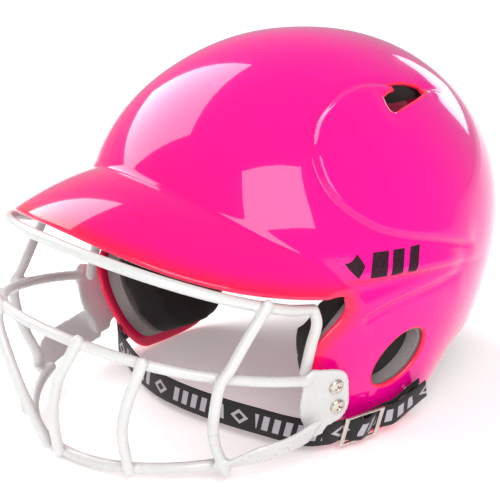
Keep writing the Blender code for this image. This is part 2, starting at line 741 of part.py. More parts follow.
def band(name, points, width, thickness, material, tilt):
    """A flat band along the points. tilt(point, along) gives the direction of its width."""
    count = len(points)

    def place(u, v):
        k = round(u * (count - 1))
        along = points[min(k + 1, count - 1)] - points[max(k - 1, 0)]
        return points[k] + tilt(points[k], along) * width * (v - 0.5)

    item = add_object(name, grid_mesh(name, count - 1, 1, place), material)
    thicken(item, thickness, inward=False)
    return item


def flap_point(y, z, height, side=1):
    """The point this high above the outside of a flap, over the place with this Y and Z."""
    azimuth = math.pi / 2
    for _ in range(12):
        miss = crown_point(azimuth, polar_of(z)).y - y
        azimuth -= miss / MEAN_LENGTH
    here = crown_point(azimuth, polar_of(z))
    over = crown_point(azimuth + 0.02, polar_of(z)) - here
    down = crown_point(azimuth, polar_of(z - 0.002)) - here
    out = over.cross(down).normalized()
    if out.x < 0:
        out = -out
    point = here + out * height
    return Vector((side * point.x, point.y, point.z))


def strap_width_direction(point, along):
    """Upright, but square to the band's run and leaning with the flap it lies on."""
    share = (abs(point.x) - STRAP_LEAN_START) / (STRAP_LEAN_END - STRAP_LEAN_START)
    up = Vector((math.copysign(STRAP_LEAN * ease(share), point.x), 0, 1))
    return (up - along * (up.dot(along) / along.length_squared)).normalized()


def slider_matrix():
    """The slider's own X runs rearward along the strap, its own Z outward."""
    centre, along = Vector(SLIDER_CENTRE), Vector(SLIDER_RUN).normalized()
    up = strap_width_direction(centre, along)
    columns = Matrix((along, up, along.cross(up))).transposed().to_4x4()
    return Matrix.Translation(centre) @ columns


def make_strap():
    matrix = slider_matrix()
    tail = [flap_point(*place) for place in STRAP_TAIL]
    through = [matrix @ Vector((x, 0, height)) for x, height in STRAP_THREAD]
    end = [flap_point(*place, side=-1) for place in STRAP_END]
    route = smooth_route((*tail, *through, *STRAP_FREE, *end), STRAP_POINTS)
    band("chin_strap", route, STRAP_WIDTH, STRAP_THICKNESS, "black_webbing", strap_width_direction)
    under = [matrix @ Vector((x, 0, height)) for x, height in ANCHOR_THREAD]
    flap = [flap_point(*place) for place in ANCHOR_FLAP]
    route = smooth_route((*under, *flap), ANCHOR_POINTS)
    band("strap_anchor", route, STRAP_WIDTH, STRAP_THICKNESS, "black_webbing", strap_width_direction)


def make_slider():
    """A three-bar slide: a flat frame whose middle bar leaves a slot on each side."""
    data = bpy.data.curves.new("strap_slider", "CURVE")
    data.dimensions = "2D"
    data.fill_mode = "BOTH"
    data.extrude = SLIDER_THICKNESS / 2

    def rectangle(x, half_x, half_y):
        return [(x - half_x, -half_y), (x + half_x, -half_y), (x + half_x, half_y), (x - half_x, half_y)]

    half_length, half_height = SLIDER_LENGTH / 2, SLIDER_HEIGHT / 2
    closed_spline(data, rectangle(0, half_length, half_height), "VECTOR", 1)
    slot = (SLIDER_LENGTH - 3 * SLIDER_WALL) / 4
    slot_height = half_height - SLIDER_WALL / 2
    for side in (-1, 1):
        centre = side * (SLIDER_WALL / 2 + slot)
        closed_spline(data, rectangle(centre, slot, slot_height), "VECTOR", 1)
    slider = add_object("strap_slider", data, "nickel")
    slider.matrix_world = slider_matrix()


def make_snaps():
    """A stud on each flap, and the strap's cap over it."""
    for name, side in SIDES:
        foot = flap_point(*SNAP_PLACE, STUD_BASE, side)
        out = foot - flap_point(*SNAP_PLACE, 0, side)
        place = Matrix.Translation(foot) @ facing(out)
        stud = ((0, STUD_HEIGHT), (STUD_RADIUS, STUD_HEIGHT), (STUD_RADIUS, 0), (0, 0))
        turned("strap_stud_" + name, stud, place, "nickel", 16)
        cap = (
            (0, SNAP_HEIGHT), (SNAP_RADIUS * 0.7, SNAP_HEIGHT * 0.9),
            (SNAP_RADIUS, SNAP_HEIGHT * 0.3), (SNAP_RADIUS, 0), (0, 0))
        band_place = place @ Matrix.Translation((0, 0, SNAP_CAP_BASE))
        turned("strap_snap_" + name, cap, band_place, "nickel", 20)


def main():
    make_shell()
    make_cross_wires()
    make_uprights()
    for name, side in SIDES:
        make_plate(name, side)
        make_arm(name, side)
        make_fasteners(name, side)
    make_lining()
    make_strap()
    make_slider()
    make_snaps()


clear_scene()
PARTS = new_collection("batting_helmet")
CUTTERS = new_collection("cutters")
main()
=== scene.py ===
"""Looks of the batting helmet: glossy moulded shell, vinyl-dipped guard, foam pads and webbing.

Metres, in the CAD model's frame: the face looks along -Y, the wearer's left is +X.
"""

import math

import bmesh
import bpy
import numpy as np
from mathutils import Matrix, Vector


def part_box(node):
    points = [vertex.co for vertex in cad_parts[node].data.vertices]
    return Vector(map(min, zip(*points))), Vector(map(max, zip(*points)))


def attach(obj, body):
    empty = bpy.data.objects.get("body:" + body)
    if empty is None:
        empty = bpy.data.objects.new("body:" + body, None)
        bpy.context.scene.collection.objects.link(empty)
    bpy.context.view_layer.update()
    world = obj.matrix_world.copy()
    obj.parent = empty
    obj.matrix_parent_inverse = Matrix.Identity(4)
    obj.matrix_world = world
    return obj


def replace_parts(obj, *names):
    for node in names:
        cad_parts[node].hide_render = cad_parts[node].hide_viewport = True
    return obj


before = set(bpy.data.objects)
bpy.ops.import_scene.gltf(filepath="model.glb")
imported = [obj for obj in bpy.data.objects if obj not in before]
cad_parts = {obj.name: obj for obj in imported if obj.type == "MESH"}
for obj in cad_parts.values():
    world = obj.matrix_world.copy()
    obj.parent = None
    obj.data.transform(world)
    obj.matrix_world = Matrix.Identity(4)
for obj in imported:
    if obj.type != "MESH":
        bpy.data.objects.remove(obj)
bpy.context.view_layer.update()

SIDES = (("left", 1), ("right", -1))
SHELL_LOW, SHELL_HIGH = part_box("shell")

# ---- shell sizes, from the CAD shell's box ---------------------------------------------------
HALF_WIDTH = SHELL_HIGH.x
CROWN_TOP = SHELL_HIGH.z
EQUATOR_Z = 0.47 * CROWN_TOP
CROWN_RISE = CROWN_TOP - EQUATOR_Z
CROWN_Y = SHELL_HIGH.y - 0.1381
MEAN_LENGTH = 0.13235
LENGTH_SHIFT = 0.00575
TAPER_LENGTH = 0.100
SIDE_TAPER = 0.18
END_TAPER = 0.29
FLAP_FLARE = 0.40
FLARE_DEPTH = 0.040
FLARE_COSINE = 0.40
REAR_COSINE = 0.40
REAR_CORNER_TRIM = 0.033
THICKNESS = 0.003
LIP = THICKNESS / 2

BRIM_AZIMUTH = math.radians(66)
BROW_LOW_Z = 0.0963
BROW_RISE = 0.0503
BROW_ROUNDNESS = 0.72
BRIM_HALF_WIDTH = 0.102
BRIM_Y = -0.0438
BRIM_REACH = 0.102
BRIM_LOW_Z = 0.0957
BRIM_TILT = 0.026
BRIM_ARCH = 0.0134
BRIM_BULGE = 0.004
BRIM_END = (0.1002, -0.031, 0.092)
BRIM_END_AZIMUTH = math.radians(68)
BRIM_SHARE = 0.42
UPPER_SHARE = 0.62

# Side ridge azimuth and height, and azimuth and height of the rim below it, from the brim's end
# down the flap's front, along its foot, up its back and round to the middle of the nape.
RIM = (
    (68.0, 0.0963, 65.6, 0.0920), (68.8, 0.0963, 66.4, 0.0860), (70.0, 0.0963, 64.3, 0.0790),
    (71.3, 0.0963, 59.4, 0.0710), (72.8, 0.0963, 55.0, 0.0620), (74.4, 0.0963, 52.9, 0.0520),
    (76.0, 0.0963, 52.3, 0.0400), (77.8, 0.0963, 52.8, 0.0280), (79.8, 0.0963, 54.2, 0.0160),
    (82.2, 0.0963, 58.4, 0.0050), (85.5, 0.0963, 66.0, 0.0015), (92.5, 0.0960, 85.0, 0.0015),
    (97.5, 0.0945, 94.3, 0.0065), (101.8, 0.0930, 100.7, 0.0180), (105.6, 0.0905, 104.8, 0.0320),
    (110.0, 0.0880, 109.5, 0.0380), (119.0, 0.0840, 119.0, 0.0400), (134.0, 0.0790, 134.0, 0.0412),
    (150.0, 0.0740, 150.0, 0.0425), (165.0, 0.0710, 165.0, 0.0435), (180.0, 0.0700, 180.0, 0.0440),
)
COLUMNS = 360
ROWS = 220

EAR_HOLE = (0.0062, 0.0481)
EAR_RADII = (0.0205, 0.0140)
EAR_TILT = math.radians(40)
EAR_POCKET_RADII = (0.0180, 0.0115)

# The side panel's edge, the vent's outline and the flap's two character lines, as Y and Z.
PANEL_EDGE = (
    (0.0890, 0.1700), (0.0610, 0.1805), (0.0360, 0.1862), (0.0190, 0.1882), (0.0045, 0.1868),
    (-0.0088, 0.1820), (-0.0195, 0.1760),
    (-0.0278, 0.1670), (-0.0312, 0.1600), (-0.0320, 0.1510), (-0.0298, 0.1430), (-0.0255, 0.1365),
    (-0.0185, 0.1300), (-0.0085, 0.1237), (0.0075, 0.1177), (0.0305, 0.1110), (0.0515, 0.1040),
    (0.0660, 0.0977),
)
VENT_OUTLINE = (
    (0.0245, 0.1825), (0.0375, 0.1850), (0.0515, 0.1838), (0.0630, 0.1800), (0.0655, 0.1775),
    (0.0520, 0.1762), (0.0370, 0.1750), (0.0275, 0.1738), (0.0235, 0.1765),
)
UPPER_LINE = (
    (-0.0310, 0.0992), (-0.0219, 0.0980), (-0.0039, 0.0980), (0.0175, 0.0964), (0.0445, 0.0933),
    (0.0832, 0.0850),
)
MARK_PATCH = (0.404, 0.650, 0.604, 0.556)
MARK_SLOPE = 0.010
LOWER_LINE = ((-0.0245, 0.0760), (-0.0025, 0.0828), (0.0315, 0.0866), (0.0535, 0.0866))


def ease(value):
    value = np.clip(value, 0.0, 1.0)
    return value * value * (3.0 - 2.0 * value)


def smooth_route(points, count):
    """Points along a Catmull-Rom curve through the given ones."""
    rows = np.asarray(points, float)
    rows = np.vstack((2 * rows[0] - rows[1], rows, 2 * rows[-1] - rows[-2]))
    place = np.linspace(0, len(points) - 1, count)
    k = np.minimum(place.astype(int), len(points) - 2)
    t = (place - k)[:, None]
    a, b, c, d = (rows[k + i] for i in range(4))
    slope = (c - a) * t + (2 * a - 5 * b + 4 * c - d) * t ** 2 + (3 * b - a - 3 * c + d) * t ** 3
    return b + slope / 2


# ---- the shell's surface ------------------------------------------------------------------------
def polar_of(height):
    rise = (np.asarray(height, float) - EQUATOR_Z) / CROWN_RISE
    return np.where(rise >= 0, np.arccos(np.clip(rise, 0, 1)), math.pi / 2 - rise)


def crown_point(azimuth, polar):
    """The outside of the shell, azimuth from the face round the left side to the back."""
    azimuth, polar = np.broadcast_arrays(np.asarray(azimuth, float), np.asarray(polar, float))
    below = polar > math.pi / 2
    height = np.where(
        below, EQUATOR_Z - CROWN_RISE * (polar - math.pi / 2), EQUATOR_Z + CROWN_RISE * np.cos(polar))
    drop = np.where(below, (EQUATOR_Z - height) / TAPER_LENGTH, 0)
    rear = ease(-np.cos(azimuth) / REAR_COSINE)
    side = 1 - (SIDE_TAPER + (END_TAPER - SIDE_TAPER) * rear) * drop ** 2
    end = 1 - END_TAPER * drop ** 2
    corner = 1 - REAR_CORNER_TRIM * np.sin(2 * np.maximum(azimuth, math.pi / 2)) ** 2
    round_off = np.where(below, 1.0, np.sin(polar)) * corner
    flare = ease((EQUATOR_Z - height) / FLARE_DEPTH) * ease(np.cos(azimuth) / FLARE_COSINE)
    across = np.clip(np.sin(azimuth), 0, None) ** (1 - FLAP_FLARE * flare)
    reach = MEAN_LENGTH - LENGTH_SHIFT * np.cos(azimuth)
    x = HALF_WIDTH * side * round_off * across
    y = CROWN_Y - reach * end * round_off * np.cos(azimuth)
    return np.stack((x, y, height), axis=-1)


def brow_height(azimuth):
    share = np.clip(np.cos(math.pi / 2 * np.minimum(azimuth / BRIM_AZIMUTH, 1)), 0, None)
    return BROW_LOW_Z + BROW_RISE * share ** BROW_ROUNDNESS


def brim_edge(azimuth):
    share = np.minimum(azimuth / BRIM_AZIMUTH, 1)
    turn = share * BRIM_AZIMUTH * (1.083 + 0.2806 * share ** 2)
    along = np.clip(np.cos(turn), 0, None)
    rise = BRIM_TILT * along + BRIM_ARCH * along ** 4
    edge = np.stack(
        (BRIM_HALF_WIDTH * np.sin(turn), BRIM_Y - BRIM_REACH * along, BRIM_LOW_Z + rise), axis=-1)
    back = np.clip((azimuth - BRIM_AZIMUTH) / (BRIM_END_AZIMUTH - BRIM_AZIMUTH), 0, 1)[:, None]
    return edge + (np.array(BRIM_END) - edge) * back


def rim_rows(shares):
    """Rows of RIM, blended, at these shares of the way along the rim."""
    table = np.array(RIM)
    places = crown_point(np.radians(table[:, 2]), polar_of(table[:, 3]))
    lengths = np.concatenate(((0,), np.cumsum(np.linalg.norm(np.diff(places, axis=0), axis=1))))
    along = np.clip(shares, 0, 1) * lengths[-1]
    k = np.clip(np.searchsorted(lengths, along, "right") - 1, 0, len(RIM) - 2)
    t = ((along - lengths[k]) / (lengths[k + 1] - lengths[k]))[:, None]
    a, b, c, d = (table[np.clip(k + i, 0, len(RIM) - 1)] for i in (-1, 0, 1, 2))
    slope = (c - a) * t + (2 * a - 5 * b + 4 * c - d) * t ** 2 + (3 * b - a - 3 * c + d) * t ** 3
    return b + slope / 2


def shell_grid(columns, rows):
    """The outside of the left half at these shares of the columns and of the rows."""
    on_brim = columns < BRIM_SHARE
    rim = rim_rows((columns - BRIM_SHARE) / (1 - BRIM_SHARE))
    azimuth = np.where(on_brim, columns / BRIM_SHARE * BRIM_END_AZIMUTH, np.radians(rim[:, 0]))
    middle = polar_of(np.where(on_brim, brow_height(azimuth), rim[:, 1]))
    upper = crown_point(azimuth[:, None], middle[:, None] * np.minimum(rows / UPPER_SHARE, 1))
    down = np.clip((rows - UPPER_SHARE) / (1 - UPPER_SHARE), 0, 1)
    brow = crown_point(azimuth, middle)
    edge = brim_edge(azimuth)
    reach = np.minimum(np.linalg.norm(edge - brow, axis=1) / BRIM_REACH, 1)
    brim = brow[:, None] + (edge - brow)[:, None] * down[None, :, None]
    brim[:, :, 2] += BRIM_BULGE * 4 * (down * (1 - down))[None] * reach[:, None]
    turn = azimuth[:, None] + (np.radians(rim[:, 2]) - azimuth)[:, None] * down[None] ** 2
    polar = middle[:, None] + (polar_of(rim[:, 3]) - middle)[:, None] * down[None]
    lower = np.where(on_brim[:, None, None], brim, crown_point(turn, polar))
    return np.where((rows <= UPPER_SHARE)[None, :, None], upper, lower)


def grid_normals(points):
    """Unit normals of a grid of points, outward."""
    over = np.gradient(points, axis=0)
    down = np.gradient(points, axis=1)
    normals = np.cross(over, down)
    size = np.linalg.norm(normals, axis=-1, keepdims=True)
    normals = normals / np.maximum(size, 1e-12)
    normals[:, 0] = (0, 0, 1)
    outward = np.sign(((points - (0, CROWN_Y, EQUATOR_Z)) * normals).sum(-1, keepdims=True))
    return normals * np.where(outward == 0, 1, outward)


def blur_rows(points, share, width, times):
    """Rounds the crease that runs along the rows near this share."""
    rows = np.linspace(0, 1, points.shape[1])
    weight = np.exp(-((rows - share) / width) ** 2)[None, :, None]
    for _ in range(times):
        middle = (points[:, :-2] + points[:, 2:]) / 2
        points[:, 1:-1] += (middle - points[:, 1:-1]) * weight[:, 1:-1] * 0.5
    return points


def relax_brim_end(points):
    """Rounds the fold where the brim's edge runs into the flap's front edge."""
    columns = np.linspace(0, 1, points.shape[0])[:, None]
    rows = np.linspace(0, 1, points.shape[1])[None]
    weight = np.exp(-((columns - BRIM_SHARE) / 0.025) ** 2 - ((rows - 0.74) / 0.13) ** 2)
    weight = weight[1:-1, 1:-1, None] * 0.8
    for _ in range(60):
        around = points[:-2, 1:-1] + points[2:, 1:-1] + points[1:-1, :-2] + points[1:-1, 2:]
        points[1:-1, 1:-1] += (around / 4 - points[1:-1, 1:-1]) * weight
    return points


def to_line(points, line, count=160):
    """Signed distance, in the Y-Z plane, from points to a smooth line, and the share along it."""
    route = smooth_route(line, count)
    flat = points[..., 1:].reshape(-1, 2)
    best = np.full(len(flat), 1e9)
    signed = np.zeros(len(flat))
    share = np.zeros(len(flat))
    for i in range(count - 1):
        a, d = route[i], route[i + 1] - route[i]
        t = np.clip(((flat - a) @ d) / (d @ d), 0, 1)
        away = flat - a - t[:, None] * d
        gap = np.linalg.norm(away, axis=1)
        near = gap < best
        best[near] = gap[near]
        signed[near] = gap[near] * np.sign(d[0] * away[near, 1] - d[1] * away[near, 0])
        share[near] = (i + t[near]) / (count - 1)
    return signed.reshape(points.shape[:-1]), share.reshape(points.shape[:-1])


def fade(share, start=0.08, stop=0.92):
    """1 along a line, falling to 0 at both ends."""
    return ease(share / start) * ease((1 - share) / (1 - stop))


def sculpt(points, normals):
    """Side panel, character lines and a dip round the vent, as heights along the normals."""
    height = np.zeros(points.shape[:2])
    side = ease((points[..., 0] - 0.030) / 0.012)
    gap, share = to_line(points, PANEL_EDGE)
    step = np.tanh(gap / 0.0010) * np.exp(-(gap / 0.011) ** 2)
    groove = np.exp(-((gap + 0.0008) / 0.0015) ** 2)
    height += side * fade(share, 0.06, 0.94) * (0.0012 * step - 0.0010 * groove)
    gap, share = to_line(points, UPPER_LINE)
    step = np.tanh(gap / 0.0015) * np.exp(-(gap / 0.009) ** 2)
    groove = np.exp(-(gap / 0.0016) ** 2)
    height += side * fade(share, 0.20, 0.70) * (0.0013 * step - 0.0008 * groove)
    gap, share = to_line(points, LOWER_LINE)
    step = np.tanh(gap / 0.0025) * np.exp(-(gap / 0.011) ** 2)
    groove = np.exp(-((gap + 0.0010) / 0.0030) ** 2)
    height += side * fade(share, 0.12, 0.75) * (0.0015 * step - 0.0012 * groove)
    gap, _ = to_line(points, VENT_OUTLINE + VENT_OUTLINE[:1])
    height -= side * 0.0012 * np.exp(-(gap / 0.0045) ** 2)
    return points + normals * height[..., None]


def hole_field(points):
    """Below 1 inside the ear hole or the vent of the left half."""
    y, z = points[..., 1] - EAR_HOLE[0], points[..., 2] - EAR_HOLE[1]
    along = (y * math.cos(EAR_TILT) + z * math.sin(EAR_TILT)) / EAR_RADII[0]
    across = (z * math.cos(EAR_TILT) - y * math.sin(EAR_TILT)) / EAR_RADII[1]
    ear = np.hypot(along, across)
    gap, _ = to_line(points, VENT_OUTLINE + VENT_OUTLINE[:1])
    vent = 1 + gap / 0.004
    near_vent = (points[..., 0] > 0.030) & (points[..., 2] > 0.16)
    vent = np.where(near_vent, vent, 9)
    ear = np.where(points[..., 0] > 0.05, ear, 9)
    return ear, vent


SHARES = np.linspace(0, 1, COLUMNS + 1), np.linspace(0, 1, ROWS + 1)
SURFACE = relax_brim_end(blur_rows(shell_grid(*SHARES), UPPER_SHARE, 0.012, 10))
NORMALS = grid_normals(SURFACE)
SCULPTED = sculpt(SURFACE, NORMALS)


def surface_at(column, row, depth, grid=None):
    """A point this deep under the outside. Columns past 0 or 1 are on the right half."""
    side = 1
    if column < 0:
        column, side = -column, -1
    if column > 1:
        column, side = 2 - column, -1
    u, v = min(column, 1) * COLUMNS, min(max(row, 0), 1) * ROWS
    i, j = min(int(u), COLUMNS - 1), min(int(v), ROWS - 1)
    s, t = u - i, v - j
    mix = (
        (i, j, (1 - s) * (1 - t)), (i + 1, j, s * (1 - t)),
        (i, j + 1, (1 - s) * t), (i + 1, j + 1, s * t))
    grid = SURFACE if grid is None else grid
    point = sum(grid[a, b] * w for a, b, w in mix)
    normal = sum(NORMALS[a, b] * w for a, b, w in mix)
    point = point - normal / np.linalg.norm(normal) * depth
    return Vector((side * point[0], point[1], point[2]))


# ---- materials ----------------------------------------------------------------------------------
def new_material(name, colour, roughness, **sockets):
    """A Principled material with constants on its own sockets. Returns it, its tree and shader."""
    material = bpy.data.materials.new(name)
    material.use_nodes = True
    tree = material.node_tree
    shader = tree.nodes["Principled BSDF"]
    shader.inputs["Base Color"].default_value = (*colour, 1)
    shader.inputs["Roughness"].default_value = roughness
    for socket, value in sockets.items():
        shader.inputs[socket.replace("_", " ")].default_value = value
    return material, tree, shader


def noise(tree, scale, detail=3.0):
    place = tree.nodes.new("ShaderNodeTexCoord")
    texture = tree.nodes.new("ShaderNodeTexNoise")
    texture.inputs["Scale"].default_value = scale
    texture.inputs["Detail"].default_value = detail
    tree.links.new(place.outputs["Object"], texture.inputs["Vector"])
    return texture.outputs["Fac"]


def spread(tree, value, low, high, first=0.35, last=0.65):
    """A value or colour that runs from low to high as the input does from first to last."""
    ramp = tree.nodes.new("ShaderNodeMapRange")
    ramp.inputs["From Min"].default_value = first
    ramp.inputs["From Max"].default_value = last
    ramp.inputs["To Min"].default_value = low
    ramp.inputs["To Max"].default_value = high
    tree.links.new(value, ramp.inputs["Value"])
    return ramp.outputs["Result"]


def blend_colours(tree, factor, low, high):
    mix = tree.nodes.new("ShaderNodeMix")
    mix.data_type = "RGBA"
    mix.inputs["A"].default_value = (*low, 1)
    mix.inputs["B"].default_value = (*high, 1)
    tree.links.new(factor, mix.inputs["Factor"])
    return mix.outputs["Result"]


def add_bump(tree, shader, height, distance, strength=1.0):
    bump = tree.nodes.new("ShaderNodeBump")
    bump.inputs["Strength"].default_value = strength
    bump.inputs["Distance"].default_value = distance
    tree.links.new(height, bump.inputs["Height"])
    tree.links.new(bump.outputs["Normal"], shader.inputs["Normal"])


def shell_material(name, body, back, rim, painted_glow):
    """Neon moulding: magenta on the faces, with painted light: a painted glow, a bluer tint towards the
    rear, and a painted orange-red edge glow where the wall shows its edge, which also gives painted shade
    along the upper crease.
    """
    material, tree, shader = new_material(
        name, body, 0.22, Coat_Weight=0.9, Coat_Roughness=0.03, Coat_IOR=1.42,
        Specular_IOR_Level=0.05,
        Emission_Strength=painted_glow)
    # Emission in the body colour: a painted glow that brightens the moulding although it is no lamp.
    shader.inputs["Emission Color"].default_value = (*body, 1)
    # The edge attribute mixes in the rim colour: painted orange-red edge glow at the rim and lip, painted
    # shade along the upper crease.
    edge = tree.nodes.new("ShaderNodeAttribute")
    edge.attribute_name = "edge"
    # From body to back along the object's Y, bluer towards the rear: painted light standing in for the lit
    # side's tint.
    place = tree.nodes.new("ShaderNodeTexCoord")
    axes = tree.nodes.new("ShaderNodeSeparateXYZ")
    tree.links.new(place.outputs["Object"], axes.inputs["Vector"])
    deep = blend_colours(tree, spread(tree, axes.outputs["Y"], 0, 1, -0.13, 0.03), body, back)
    colour = tree.nodes.new("ShaderNodeMix")
    colour.data_type = "RGBA"
    tree.links.new(edge.outputs["Fac"], colour.inputs["Factor"])
    tree.links.new(deep, colour.inputs["A"])
    colour.inputs["B"].default_value = (*rim, 1)
    colour = colour.outputs["Result"]
    tree.links.new(colour, shader.inputs["Base Color"])
    add_bump(tree, shader, noise(tree, 60, 1.0), 0.0002, 0.12)
    rough = spread(tree, noise(tree, 350), 0.13, 0.20)
    tree.links.new(rough, shader.inputs["Roughness"])
    return material


def vinyl_material():
    material, tree, shader = new_material(
        "white_vinyl", (0.60, 0.60, 0.59), 0.32, Coat_Weight=0.35, Coat_Roughness=0.18,
        Subsurface_Weight=0.08, Subsurface_Scale=0.002)
    colour = blend_colours(
        tree, spread(tree, noise(tree, 40), 0, 1), (0.585, 0.585, 0.577), (0.62, 0.62, 0.61))
    tree.links.new(colour, shader.inputs["Base Color"])
    tree.links.new(spread(tree, noise(tree, 220), 0.27, 0.40), shader.inputs["Roughness"])
    add_bump(tree, shader, noise(tree, 420, 2.0), 0.0001, 0.15)
    return material


def foam_material(name, pore_shade_colour, light, pores, bump):
    material, tree, shader = new_material(name, light, 0.92, Sheen_Weight=0.05, Sheen_Roughness=0.6)
    cells = tree.nodes.new("ShaderNodeTexVoronoi")
    cells.inputs["Scale"].default_value = pores
    place = tree.nodes.new("ShaderNodeTexCoord")
    tree.links.new(place.outputs["Object"], cells.inputs["Vector"])
    # Darker at the pore pits that the bump sinks: painted shade in the pores.
    painted_pore_shade = spread(tree, cells.outputs["Distance"], 0, 1, 0.0, 0.7)
    tree.links.new(blend_colours(tree, painted_pore_shade, pore_shade_colour, light), shader.inputs["Base Color"])
    add_bump(tree, shader, cells.outputs["Distance"], bump, 0.7)
    return material


def metal_material():
    material, tree, shader = new_material("nickel", (0.66, 0.60, 0.52), 0.24, Metallic=1.0)
    tree.links.new(spread(tree, noise(tree, 900), 0.18, 0.34), shader.inputs["Roughness"])
    colour = blend_colours(
        tree, spread(tree, noise(tree, 300), 0, 1), (0.60, 0.54, 0.46), (0.72, 0.67, 0.60))
    tree.links.new(colour, shader.inputs["Base Color"])
    return material


def maths(tree, operation, first, second=None):
    node = tree.nodes.new("ShaderNodeMath")
    node.operation = operation
    for socket, value in zip(node.inputs, (first, second)):
        if isinstance(value, (int, float)):
            socket.default_value = value
        elif value is not None:
            tree.links.new(value, socket)
    return node.outputs["Value"]


def webbing_material():
    """Black polyester webbing with a woven band of plain grey bars and lozenges."""
    material, tree, shader = new_material("webbing", (0.008, 0.006, 0.007), 0.8, Sheen_Weight=0.08)
    place = tree.nodes.new("ShaderNodeUVMap")
    place.uv_map = "run"
    split = tree.nodes.new("ShaderNodeSeparateXYZ")
    tree.links.new(place.outputs["UV"], split.inputs["Vector"])
    along, across = split.outputs["X"], split.outputs["Y"]
    middle = maths(tree, "ABSOLUTE", maths(tree, "SUBTRACT", across, 0.5))
    inside = maths(tree, "LESS_THAN", middle, 0.27)
    slant = maths(tree, "ADD", along, maths(tree, "MULTIPLY", across, 0.004))
    bar = maths(tree, "LESS_THAN", maths(tree, "PINGPONG", slant, 0.0035), 0.0020)
    period = maths(tree, "PINGPONG", along, 0.030)
    run = maths(tree, "GREATER_THAN", period, 0.0105)
    bars = maths(tree, "MULTIPLY", maths(tree, "MULTIPLY", bar, run), inside)
    long, wide = maths(tree, "MULTIPLY", period, 170.0), maths(tree, "MULTIPLY", middle, 3.6)
    lozenge = maths(tree, "ADD", long, wide)
    ring = maths(tree, "LESS_THAN", lozenge, 1.0)
    ring = maths(tree, "MULTIPLY", ring, maths(tree, "GREATER_THAN", lozenge, 0.52))
    motif = maths(tree, "MAXIMUM", bars, ring)
    tree.links.new(
        blend_colours(tree, motif, (0.007, 0.006, 0.006), (0.42, 0.39, 0.43)), shader.inputs["Base Color"])
    warp = maths(tree, "PINGPONG", maths(tree, "MULTIPLY", across, 22.0), 0.5)
    weft = maths(tree, "PINGPONG", maths(tree, "MULTIPLY", along, 1600.0), 0.5)
    add_bump(tree, shader, maths(tree, "MULTIPLY", warp, weft), 0.0003, 0.8)
    return material


def print_material():
    """Black pad-printing ink, worn a little thin in places."""
    material, tree, shader = new_material("ink", (0.02, 0.0, 0.01), 0.45, Specular_IOR_Level=0.25)
    thin = spread(tree, noise(tree, 700), 0, 1, 0.45, 0.9)
    tree.links.new(
        blend_colours(tree, thin, (0.012, 0.002, 0.006), (0.09, 0.004, 0.03)), shader.inputs["Base Color"])
    return material


# Colours: body, painted-light rear tint, painted orange-red edge glow; then the painted glow strength.
PINK = shell_material("neon_pink", (0.74, 0.0, 0.150), (0.74, 0.001, 0.260), (0.86, 0.008, 0.045), 0.16)
# The inside: a darker copy of the moulding with less glow, as painted shade inside the shell.
PAINTED_SHADE_PINK = shell_material(
    "inner_pink_painted_shade", (0.55, 0.001, 0.08), (0.55, 0.001, 0.08), (0.98, 0.018, 0.085), 0.04)
VINYL = vinyl_material()
# First colour of each foam: the painted shade in its pores.
GREY_FOAM = foam_material("grey_foam", (0.17, 0.155, 0.15), (0.33, 0.31, 0.30), 2200, 0.0002)
BLACK_FOAM = foam_material("black_foam", (0.003, 0.002, 0.002), (0.011, 0.008, 0.008), 1500, 0.0003)
NICKEL = metal_material()
WEBBING = webbing_material()
PRINT = print_material()


# ---- mesh helpers -------------------------------------------------------------------------------
def add_piece(name, mesh, material, body="helmet", smooth=True):
    item = bpy.data.objects.new(name, mesh)
    bpy.context.scene.collection.objects.link(item)
    mesh.materials.append(material)
    mesh.shade_smooth() if smooth else mesh.shade_flat()
    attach(item, body)
    return item


def apply_modifiers(item):
    graph = bpy.context.evaluated_depsgraph_get()
    mesh = bpy.data.meshes.new_from_object(item.evaluated_get(graph))
    item.modifiers.clear()
    old, item.data = item.data, mesh
    bpy.data.meshes.remove(old)
    return item


def boundary_frames(build):
    """For each boundary vertex of an open sheet, the in-plane direction that leads off the sheet."""
    off = {}
    for edge in build.edges:
        if not edge.is_boundary:
            continue
        face = edge.link_faces[0]
        a, b = edge.verts
        along = (b.co - a.co).normalized()
        out = along.cross(face.normal)
        if out.dot((a.co + b.co) / 2 - face.calc_center_median()) < 0:
            out = -out
        for vertex in (a, b):
            off[vertex] = off.get(vertex, Vector()) + out
    for _ in range(4):
        softer = {}
        for vertex, out in off.items():
            beside = [edge.other_vert(vertex) for edge in vertex.link_edges if edge.is_boundary]
            softer[vertex] = out.normalized() + sum((off[near].normalized() for near in beside), Vector())
        off = softer
    return {vertex: out.normalized() for vertex, out in off.items()}


# ---- shell --------------------------------------------------------------------------------------
def open_holes(points):
    """Which grid vertices stay, and the grid with its hole edges moved onto the outlines."""
    moved = points.copy()
    keep = np.ones(points.shape[:2], bool)
    for field in hole_field(points):
        inside = field < 1
        keep &= ~inside
        edge = ~inside
        edge[1:-1, 1:-1] &= (
            inside[:-2, 1:-1] | inside[2:, 1:-1] | inside[1:-1, :-2] | inside[1:-1, 2:]
            | inside[:-2, :-2] | inside[2:, 2:] | inside[:-2, 2:] | inside[2:, :-2])
        edge[0], edge[-1], edge[:, 0], edge[:, -1] = False, False, False, False
        slope_u = np.gradient(field, axis=0)
        slope_v = np.gradient(field, axis=1)
        over, down = np.gradient(points, axis=0), np.gradient(points, axis=1)
        steep = np.maximum(slope_u ** 2 + slope_v ** 2, 1e-9)
        back = (1 - field) / steep
        shift = (back * slope_u)[..., None] * over + (back * slope_v)[..., None] * down
        moved = np.where(edge[..., None], moved + shift, moved)
    return moved, keep


